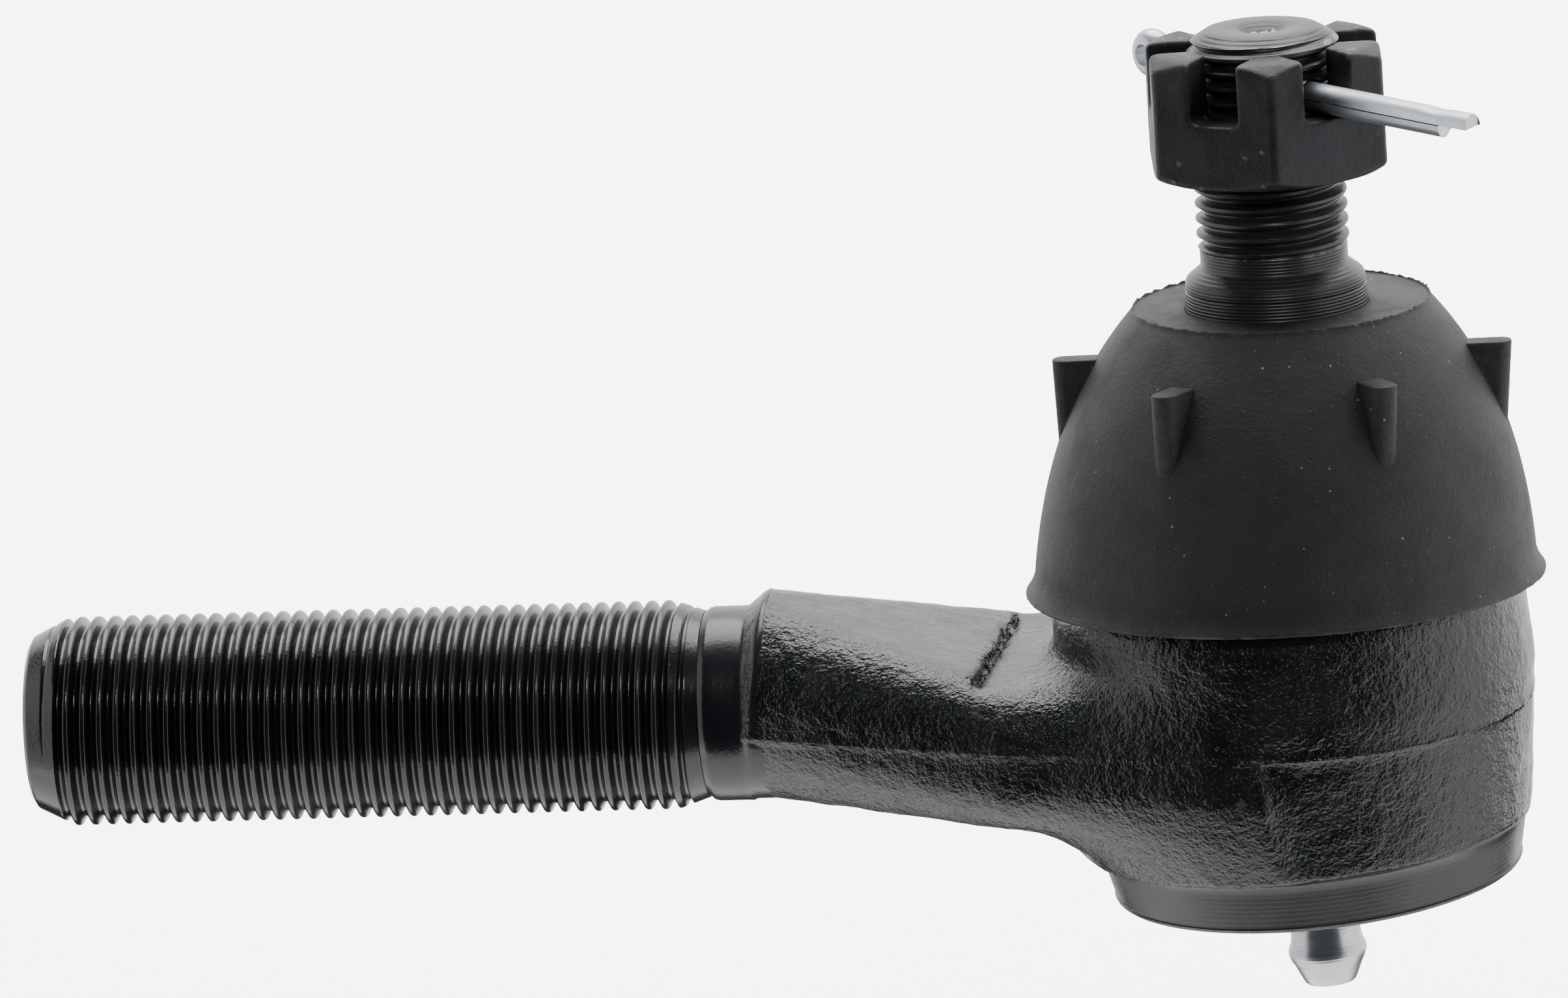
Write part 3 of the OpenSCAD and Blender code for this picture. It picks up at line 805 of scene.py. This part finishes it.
shank = {"radius": 8.7, "pitch": 1.411, "length": 56.7, "depth": 0.8, "start radius": 7.75,
         "start slope": 0.35, "end radius": 7.06, "end slope": 0.5, "recess": 2.4,
         "recess depth": 1.6}
threadStart = shankEnd - shank["length"]
shankThread = threadMesh("shankThread", shank, 72, 14, -1, finishes["turnedSkin"])
shankThread.transform(Matrix.Translation((0, 0, threadStart)))
addPiece("shankThread", shankThread, "socket", "forging", "socket_forging", place=inShank)


def collarShape(angle, radius, height):      # the turned flare stops where the forged skin starts
    sideways = arm["end radius"] ** 2 - (arm["end rise"] * math.cos(angle)) ** 2
    skin = math.sqrt(sideways) - arm["end rise"] * math.sin(angle)
    return (min(radius, skin + 0.03) if height < 45.4 else radius), height


collarOutline = [(0, 43.2), (7.4, 43.2), (9.7, 43.7), (9.55, 43.88), (8.9, 44.62), (8.55, 45.0),
                 (8.28, 45.35), (8.13, 45.7), (8.1, 46.2), (8.1, 48.5), (8.02, 48.85),
                 (7.75, 49.15), (7.6, 49.6), (7.5, 50.4), (0, 50.4)]
collar = revolve("turnedCollar", spaced(collarOutline, 0.6), finishes["turnedSkin"], 144,
                 shape=collarShape)
addPiece("turnedCollar", collar, "socket", "forging", "socket_forging", place=inShank)


# rolled lip

def lipWaver(angle, radius, height):         # the roller leaves the inner edge a little uneven
    spot = Vector((math.cos(angle), math.sin(angle), height * 0.2))
    wave = noise.noise(spot * 2.1) * 0.12 + noise.noise(spot * 9) * 0.05
    share = 1 if radius < 16.2 else 0.25
    return radius + wave * share, height + wave * 0.3 * share


lip = {"top": -11.5, "top radius": 18.15, "radius": 17.6, "foot": -12.9, "edge radius": 16.93,
       "bore": 15.18, "inner": 13.5}


def makeLip():
    bottom, radius, edge = lipBottom, lip["radius"], lip["edge radius"]
    outline = [(lip["bore"], lip["top"]), (lip["top radius"] - 0.1, lip["top"]),
               (lip["top radius"], lip["top"] - 0.3), (radius + 0.3, lip["top"] - 0.6),
               (radius + 0.12, lip["top"] - 0.9), (radius, lip["foot"])]
    outline += [(edge, bottom + 0.52), (edge + 0.1, bottom + 0.42), (edge + 0.02, bottom + 0.24),
                (edge - 0.16, bottom + 0.1), (edge - 0.45, bottom + 0.01), (15.2, bottom),
                (14.3, bottom + 0.1), (13.8, bottom + 0.3), (lip["inner"], bottom + 0.6),
                (lip["inner"] + 0.05, coverFace - 0.02), (lip["bore"] + 0.04, coverFace - 0.02)]
    return revolve("rolledLip", outline, finishes["lip"], 160, True, lipWaver)


addPiece("rolledLip", makeLip(), "socket", "forging", "socket_forging", place=inHousing)
print("forging done")


# cover plate, grease fitting and what they hold

def makeCover():
    outline = [(3.24, coverTop), (6.5, coverTop), (15.1, coverTop), (15.1, coverFace + 0.25),
               (14.85, coverFace), (12.4, coverFace + 0.02), (11.6, coverFace - 0.12),
               (9.8, coverFace - 0.34), (7.2, coverFace - 0.38), (5.4, coverFace - 0.3),
               (4.9, coverFace - 0.05), (3.24, coverFace)]
    return revolve("coverPlate", spaced(outline, 1.5), finishes["cover"], 128, True)


addPiece("coverPlate", makeCover(), "socket", "cover_steel", "cover_plate", place=inHousing)

fitting = {"flats": 7.94, "hex": 3.2, "thread": 6.35, "waist": 2.4, "bore": 1.1, "throat": 0.65}


def hexRadius(angle, flats):
    folded = (angle + math.pi / 6) % (math.pi / 3) - math.pi / 6
    return flats / 2 / math.cos(folded)


def makeFitting():
    top, tip = coverTop, fittingTip
    hexBottom = coverFace - fitting["hex"]
    half = fitting["flats"] / 2
    crown = half / math.cos(math.pi / 6)

    def shape(angle, radius, height):
        if radius > half - 0.5 and hexBottom - 0.01 < height < coverFace - 0.35:
            flat = hexRadius(angle, fitting["flats"])
            cone = half - 0.2 + min(coverFace - 0.4 - height, height - hexBottom) * 1.7
            return min(flat, cone, radius + 0.6), height
        return radius, height

    outer = [(fitting["thread"] / 2, top), (fitting["thread"] / 2, coverFace - 0.38)]
    outer += [(half - 0.2, coverFace - 0.4)]
    outer += [(crown, coverFace - 0.4 - step * 0.09) for step in range(1, 6)]
    outer += [(crown, coverFace - 1.2), (crown, coverFace - 2.0)]
    outer += [(crown, hexBottom + step * 0.09) for step in range(5, 0, -1)]
    outer += [(half - 0.2, hexBottom), (2.9, hexBottom - 0.02), (2.5, hexBottom - 0.2),
              (fitting["waist"], hexBottom - 0.5), (fitting["waist"], hexBottom - 1.2),
              (2.55, hexBottom - 1.7), (2.9, hexBottom - 2.6), (2.95, tip + 3.9),
              (3.02, tip + 3.5), (3.22, tip + 3.05), (3.27, tip + 2.8), (3.25, tip + 2.5),
              (3.1, tip + 2.05), (2.86, tip + 1.65), (2.55, tip + 0.95), (2.3, tip + 0.4),
              (2.16, tip + 0.12), (2.02, tip + 0.0)]
    inner = [(fitting["throat"] + 0.25, tip), (fitting["throat"], tip + 0.2),
             (fitting["throat"], tip + 0.75), (fitting["bore"], tip + 1.2),
             (fitting["bore"], top)]
    return revolve("greaseFitting", outer + inner, finishes["zinc"], 144, True, shape)


addPiece("greaseFitting", makeFitting(), "socket", "bright_zinc", "grease_fitting",
         place=inHousing, smooth=28)


def springMesh(name, sizes, material):       # a wire wound on a spiral
    labels = ("radius", "wire", "height", "turns", "base")
    tree, field, source = openTree(name, labels)
    line = node(tree, "GeometryNodeCurveSpiral",
                {"Resolution": 48, "Rotations": field["turns"], "Start Radius": field["radius"],
                 "End Radius": field["radius"], "Height": field["height"] - field["wire"]})
    ring = node(tree, "GeometryNodeCurvePrimitiveCircle",
                {"Resolution": 16, "Radius": field["wire"] / 2})
    tube = node(tree, "GeometryNodeCurveToMesh",
                {"Curve": line.outputs[0], "Profile Curve": ring.outputs[0], "Fill Caps": True})
    lifted = node(tree, "GeometryNodeTransform",
                  {"Geometry": tube.outputs[0],
                   "Translation": vectorOf(tree, 0, 0, field["base"] + field["wire"] / 2)})
    return grow(name, tree, source, lifted.outputs[0], sizes, material)


def bodySpring(name, nodeName, wire, turns, material):
    top = reachAlong(nodeName, housingAxis)
    base = -reachAlong(nodeName, -housingAxis)
    reach = max((v.co / mm - housingAxis * housingAxis.dot(v.co / mm)).length
                for v in frame["nodes"][nodeName].data.vertices)
    sizes = {"radius": reach - wire / 2, "wire": wire, "height": top - base, "turns": turns,
             "base": base}
    return springMesh(name, sizes, material)


coils = {"preload wire": 1.6, "preload turns": 1.75, "valve wire": 0.25, "valve turns": 4.0}
preload = bodySpring("preloadSpring", "preload_spring", coils["preload wire"],
                     coils["preload turns"], finishes["spring"])
addPiece("preloadSpring", preload, "socket", "spring_steel", "preload_spring", place=inHousing)
valveSpring = bodySpring("fittingSpring", "fitting_spring", coils["valve wire"],
                         coils["valve turns"], finishes["spring"])
addPiece("fittingSpring", valveSpring, "socket", "spring_steel", "fitting_spring",
         place=inHousing)
for nodeName, finishName in (("upper_bearing", "sintered"), ("lower_bearing", "sintered"),
                             ("fitting_ball", "polished")):
    shown = frame["nodes"][nodeName]
    shown.data.materials.clear()
    shown.data.materials.append(finishes[finishName])
print("cover, fitting and springs done")


# ball stud

stud = {"ball": 10.8, "flat": 0.5, "neck": 5.4, "neck top": 15.9, "taper base": 19.2,
        "taper base radius": 8.425, "taper top": 35.2, "taper radius": 7.425, "taper ratio": 8,
        "runout": 6.12,
        "thread start": 37.0}


def makeStudShaft():
    ball = stud["ball"]
    under = math.degrees(math.asin((ball - stud["flat"]) / ball))
    upper = math.degrees(math.acos(stud["neck"] / ball))
    outline = [(0, -ball + stud["flat"])] + arcPoints((0, 0), ball, -under, upper, 56)
    outline += [(stud["neck"], 10.2), (stud["neck"], stud["neck top"] - 0.8)]
    outline += [(stud["neck"] + 0.12, stud["neck top"]), (6.1, 17.45), (7.1, 18.35)]
    outline += [(8.1, 19.0), (stud["taper base radius"], 19.3)]

    def taperAt(height):
        share = (height - stud["taper base"]) / (stud["taper top"] - stud["taper base"])
        wide, narrow = stud["taper base radius"], stud["taper radius"]
        return wide + share * (narrow - wide)

    heights = [20 + step * 0.6 for step in range(24)]
    outline += [(taperAt(height), height) for height in heights]
    ring = 34.2                              # a tool mark round the top of the taper
    outline += [(taperAt(ring - 0.12), ring - 0.12), (taperAt(ring) - 0.06, ring - 0.05),
                (taperAt(ring) - 0.06, ring + 0.05), (taperAt(ring + 0.12), ring + 0.12),
                (taperAt(34.9), 34.9), (stud["taper radius"] - 0.06, 35.12),
                (stud["taper radius"] - 0.2, 35.28), (stud["runout"] + 0.22, 35.98),
                (stud["runout"] + 0.05, 36.12), (stud["runout"], 36.4),
                (stud["runout"], 37.6), (5.3, 38.4), (0, 38.4)]
    return revolve("studShaft", outline, finishes["oxide"], 128)


addPiece("studShaft", makeStudShaft(), "stud", "oxide_steel", "ball_stud", place=inStud)

studThreadSizes = {"radius": 6.32, "pitch": 1.27, "length": studTop - stud["thread start"],
                   "depth": 0.72, "start radius": 5.75, "start slope": 0.6, "end radius": 5.15,
                   "end slope": 1.05, "recess": 2.15, "recess depth": 1.25}
pinHole = {"radius": 1.45, "reach": 8.0}


def drilled(piece, center, way, radius, reach):
    build = bmesh.new()
    place = Matrix.Translation(center * mm) @ frameAlong(way, (0, 0, 1))
    bmesh.ops.create_cone(build, cap_ends=True, segments=32, radius1=radius * mm,
                          radius2=radius * mm, depth=2 * reach * mm, matrix=place)
    cutter = bpy.data.objects.new("cutter", meshFrom(build, "cutter", finishes["oxide"]))
    scene.collection.objects.link(cutter)
    modifier = piece.modifiers.new("drill", "BOOLEAN")
    modifier.operation = "DIFFERENCE"
    modifier.object = cutter
    modifier.solver = "EXACT"
    cut = finalMesh(piece)
    bpy.data.objects.remove(cutter)
    return cut


def makeStudThread():
    mesh = threadMesh("studThread", studThreadSizes, 72, 16, 1, finishes["oxide"])
    mesh.transform(Matrix.Translation((0, 0, stud["thread start"])))
    mesh.transform(inStud)
    mesh.transform(Matrix.Scale(mm, 4))
    piece = bpy.data.objects.new("studThread", mesh)
    scene.collection.objects.link(piece)
    cut = drilled(piece, studAxis * pinHeight, pinWay, pinHole["radius"], pinHole["reach"])
    bpy.data.objects.remove(piece)
    return cut


addPiece("studThread", makeStudThread(), "stud", "oxide_steel", "ball_stud", scale=1)
print("ball stud done")


# castle nut

nut = {"flats": 19.1, "turn": -80.4, "face": 9.4, "chamfer": 32.0, "slot": 4.4, "slot depth": 5.3,
       "slot corner": 0.8, "bore": 6.36, "corner": 0.35, "edge": 0.28}


def nutGap(tree, size, x, y, z):
    turn = math.radians(nut["turn"])
    r = across(x, y)
    body = None
    for step in range(3):
        way = turn + math.radians(30 + 60 * step)
        side = abs(x * math.cos(way) + y * math.sin(way)) - size["flats"] / 2
        body = side if body is None else roundBoth(body, side, nut["corner"])
    fall = math.radians(nut["chamfer"])
    top = (r - size["face"]) * math.sin(fall) + (z - size["height"]) * math.cos(fall)
    bottom = (r - size["face"]) * math.sin(fall) - z * math.cos(fall)
    body = roundBoth(body, top, nut["edge"])
    body = roundBoth(body, bottom, nut["edge"])
    body = roundBoth(body, z - size["height"], 0.25)
    body = roundBoth(body, z * -1, 0.25)
    for step in range(3):
        way = turn + math.radians(30 + 60 * step)
        lateral = abs(y * math.cos(way) - x * math.sin(way)) - size["slot"] / 2
        floor = size["height"] - nut["slot depth"] - z
        slot = roundBoth(lateral, floor, nut["slot corner"])
        body = roundBoth(body, slot * -1, nut["edge"])
    bore = r - nut["bore"]
    body = roundBoth(body, bore * -1, 0.3)
    dents = cloud(tree, vectorOf(tree, x, y, z), 0.75, 3, 0.6) - 0.5
    return body + dents * 0.07


def makeNut():
    sizes = {"flats": nut["flats"], "height": nutTop - nutBottom, "face": nut["face"],
             "slot": nut["slot"]}
    voxel = 0.165
    mesh = carve("castleNut", sizes, (-11.6, -11.6, -0.5), (11.6, 11.6, sizes["height"] + 0.5),
                 voxel, nutGap, finishes["phosphate"])
    mesh.transform(Matrix.Translation((0, 0, nutBottom)))
    return mesh


castle = makeNut()
addPiece("castleNut", castle, "stud", "phosphate_steel", "castle_nut", place=inStud, smooth=0)
castle.shade_smooth()
print("nut done")


# cotter pin

pin = {"radius": 1.17, "split": 0.05, "eye": 14.6, "eye radius": 0.9, "eye lift": 1.0,
       "leave": 45, "bend": 5.2, "step": 3.6, "cut": 28.0, "spacing": 0.9, "sections": 14}


def onCurve(points, share):                  # a place on the cubic curve of four points
    weights = ((1 - share) ** 3, 3 * share * (1 - share) ** 2, 3 * share ** 2 * (1 - share),
               share ** 3)
    return tuple(sum(weight * point[axis] for weight, point in zip(weights, points))
                 for axis in (0, 1))


def curve(points, steps):                    # without its two ends
    return [onCurve(points, step / steps) for step in range(1, steps)]


def straightRun(start, end, height):
    count = math.ceil(abs(end - start) / pin["spacing"])
    return [(start + (end - start) * step / count, height) for step in range(count + 1)]


def pinPath():                               # where the wire's flat side runs, from leg to leg
    gap, eye, radius = pin["split"], -pin["eye"], pin["eye radius"]
    straight = eye + pin["bend"]             # where the upper leg leaves its straight line
    points = straightRun(pinLong, straight, gap)
    loop = arcPoints((eye, pin["eye lift"]), radius, pin["leave"], 270, 40)
    turn = math.radians(pin["leave"])
    handle = (loop[0][0] + 1.5 * math.sin(turn), loop[0][1] - 1.5 * math.cos(turn))
    points += curve((points[-1], (straight - 1.8, gap), handle, loop[0]), 12)
    points += loop
    foot, after = loop[-1], (eye + 3, -gap)
    points += curve((foot, (foot[0] + 1, foot[1]), (after[0] - 1, after[1]), after), 8)
    points += straightRun(after[0], pinLong - pin["step"], -gap)
    return points


def makePin():
    build = bmesh.new()
    path = pinPath()
    sections = pin["sections"]
    rings = []
    for index, (px, pz) in enumerate(path):
        before = path[max(index - 1, 0)]
        after = path[min(index + 1, len(path) - 1)]
        way = Vector((after[0] - before[0], after[1] - before[1])).normalized()
        out = Vector((-way.y, way.x)) * -1       # away from the flat side
        ring = []
        dent = 0.12 * math.exp(-((index - 5) / 1.2) ** 2) if index < 12 else 0
        for step in range(sections + 1):
            angle = math.pi * step / sections
            side = pin["radius"] * math.cos(angle)
            lift = max((pin["radius"] - dent) * math.sin(angle), 0.0)
            ring.append(build.verts.new((px + out.x * lift, side, pz + out.y * lift)))
        rings.append(ring)
    slant = math.tan(math.radians(pin["cut"]))
    for vert in rings[0] + rings[-1]:            # the ends are sheared off at an angle
        vert.co.x -= (vert.co.y / pin["radius"] + 1) * slant
    for first, second in zip(rings, rings[1:]):
        for step in range(sections):
            build.faces.new((first[step], first[step + 1], second[step + 1], second[step]))
        build.faces.new((first[sections], first[0], second[0], second[sections]))
    build.faces.new(rings[0])
    build.faces.new(rings[-1][::-1])
    bmesh.ops.recalc_face_normals(build, faces=build.faces)
    mesh = meshFrom(build, "cotterPin", finishes["wire"])
    mesh.transform(Matrix.Translation((0, 0, pinHeight)))
    return mesh


pinPiece = addPiece("cotterPin", makePin(), None, "bright_zinc", "cotter_pin", place=inPin,
                    smooth=50)
rounding = pinPiece.modifiers.new("roundedEdges", "BEVEL")
rounding.width = 0.12 * mm
rounding.segments = 2
rounding.limit_method = "ANGLE"
rounding.angle_limit = math.radians(50)
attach(pinPiece, "pin")
print("pin done")


# dust boot

boot = {"top radius": 12.35, "rim radius": 21.55, "rim": 9.1, "wall": 1.4, "lid": 2.0,
        "flash": 0.22, "lug reach": 19.05, "lug inside": 14.6, "lug width": 2.3,
        "lug drop": 3.95, "lug root": 18.6, "lug taper": 0.9, "lug turn": -116.0, "lugs": 6,
        "rim shift": (-0.5, 0.0), "top shift": (0.35, 0.0)}


def bell(share):                             # the boot's outline, a cubic curve from top to rim
    top, rim = bootTop, boot["rim"]
    points = ((boot["top radius"], top), (boot["top radius"] + 4.65, top - 5.2),
              (boot["rim radius"] - 1.55, rim + 11.4), (boot["rim radius"] - 0.75, rim + 1.7))
    return onCurve(points, share)


def bootOutline():
    taper = stud["taper radius"] + (stud["taper top"] - bootTop) / (2 * stud["taper ratio"])
    steps = 44
    skin = [bell(step / steps) for step in range(steps + 1)]
    outer = [(taper + 0.05, bootTop - 0.12), (taper + 0.35, bootTop)]
    outer += [(taper + 0.35 + (boot["top radius"] - 0.5 - taper - 0.35) * step / 8, bootTop)
              for step in range(1, 9)]
    outer += [(boot["top radius"] - 0.16, bootTop + 0.02),
              (boot["top radius"] - 0.07, bootTop + boot["flash"]),
              (boot["top radius"] + 0.05, bootTop + boot["flash"] * 0.8),
              (boot["top radius"] + 0.12, bootTop - 0.1)]
    outer += skin[1:]
    rim = boot["rim radius"]
    outer += [(rim - 0.5, boot["rim"] + 1.0), (rim - 0.18, boot["rim"] + 0.42),
              (rim + 0.02, boot["rim"] + 0.16), (rim, boot["rim"] + 0.04),
              (rim - 0.15, boot["rim"])]
    inner = [(rim - 0.9, boot["rim"]), (rim - boot["wall"] + 0.2, boot["rim"] + 0.25)]
    for step in range(steps, 5, -2):
        radius, height = skin[step]
        before, after = skin[step - 1], skin[min(step + 1, steps)]
        way = Vector((after[0] - before[0], after[1] - before[1])).normalized()
        inner.append((radius + way.y * boot["wall"], height - way.x * boot["wall"]))
    inner += [(boot["top radius"] - 2.0, bootTop - boot["lid"]),
              (taper + 0.4, bootTop - boot["lid"]), (taper + 0.05, bootTop - boot["lid"] + 0.3)]
    return outer + inner


def bootWaver(angle, radius, height):        # torn mould flash, and slow waves in the wall
    spot = Vector((math.cos(angle) * 2, math.sin(angle) * 2, height * 0.05))
    slow = noise.noise(spot * 0.9) * 0.1
    torn = noise.noise(spot * 16) + 0.5 * noise.noise(spot * 41)
    r, h = radius + slow * 0.4, height
    if height > bootTop + 0.1:
        h += torn * 0.16 - 0.05
        r += torn * 0.05
    if height < boot["rim"] + 0.1 and radius > boot["rim radius"] - 0.2:
        r += min(torn, 0.1) * 0.22
        h += torn * 0.05
    return r, h


def lugMesh():
    labels = ("reach", "width", "height", "inner", "turn", "base")
    tree, field, source = openTree("bootLugs", labels)
    depth = field["reach"] - field["inner"]
    block = node(tree, "GeometryNodeCurvePrimitiveQuadrilateral",
                 {"Width": depth, "Height": field["width"]})
    soft = node(tree, "GeometryNodeFilletCurve",
                {"Curve": block.outputs[0], "Radius": field["width"] * 0.46, "Count": 7},
                mode="POLY")
    base = node(tree, "GeometryNodeFillCurve", {"Curve": soft.outputs[0]}, mode="NGONS")
    tall = node(tree, "GeometryNodeExtrudeMesh",
                {"Mesh": base.outputs[0], "Offset": vectorOf(tree, 0, 0, 1.0),
                 "Offset Scale": field["height"], "Individual": False})
    under = node(tree, "GeometryNodeFlipFaces", {"Mesh": base.outputs[0]})
    closed = node(tree, "GeometryNodeJoinGeometry")
    tree.links.new(tall.outputs["Mesh"], closed.inputs[0])
    tree.links.new(under.outputs[0], closed.inputs[0])
    welded = node(tree, "GeometryNodeMergeByDistance", {"Geometry": closed.outputs[0],
                                                        "Distance": 0.001})
    outward = node(tree, "GeometryNodeTransform",
                   {"Geometry": welded.outputs[0],
                    "Translation": vectorOf(tree, field["inner"] + depth / 2, 0, field["base"])})
    dots = node(tree, "GeometryNodeMeshLine", {"Count": boot["lugs"], "Offset": (0, 0, 0)})
    index = Field(tree, node(tree, "GeometryNodeInputIndex").outputs[0])
    spin = vectorOf(tree, 0, 0, (field["turn"] + index * (360 / boot["lugs"])) * math.radians(1))
    copies = node(tree, "GeometryNodeInstanceOnPoints",
                  {"Points": dots.outputs[0], "Instance": outward.outputs[0], "Rotation": spin})
    sizes = {"reach": boot["lug reach"], "width": boot["lug width"],
             "inner": boot["lug inside"],
             "height": bootTop - boot["lug drop"] - boot["lug root"], "turn": boot["lug turn"],
             "base": boot["lug root"]}
    return grow("bootLugs", tree, source, copies.outputs[0], sizes, finishes["rubber"])


def makeBoot():
    shell = revolve("bootShell", bootOutline(), finishes["rubber"], 256, True, bootWaver)
    lugs = bpy.data.objects.new("lugs", lugMesh())
    scene.collection.objects.link(lugs)
    worn = lugs.modifiers.new("edges", "BEVEL")
    worn.width = 0.16
    worn.segments = 2
    worn.limit_method = "ANGLE"
    worn.angle_limit = math.radians(50)
    posts = finalMesh(lugs)
    bpy.data.objects.remove(lugs)
    for vert in posts.vertices:              # the posts lean in toward their feet
        reach = math.hypot(vert.co.x, vert.co.y)
        depth = (bootTop - boot["lug drop"] - vert.co.z) / (bootTop - boot["lug root"])
        vert.co.xy *= 1 - boot["lug taper"] * depth / reach
    build = bmesh.new()
    build.from_mesh(shell)
    build.from_mesh(posts)
    span = bootTop - boot["rim"]
    for vert in build.verts:                 # the bell stands a little askew on the stud
        share = (vert.co.z - boot["rim"]) / span
        for axis in (0, 1):
            shift = boot["rim shift"][axis] * (1 - share)
            seat = min(1, max(0, (math.hypot(vert.co.x, vert.co.y) - 8) / 3))
            vert.co[axis] += shift + boot["top shift"][axis] * share * seat
    for face in build.faces:
        face.material_index = 0
    bmesh.ops.recalc_face_normals(build, faces=build.faces)
    return meshFrom(build, "dustBoot", finishes["rubber"])


bootPiece = addPiece("dustBoot", makeBoot(), None, "boot_rubber", "dust_boot", place=inStud,
                     smooth=45)
tuple(studAxis * (bootTop - 2) * mm)
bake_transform(bootPiece)
print("boot done")
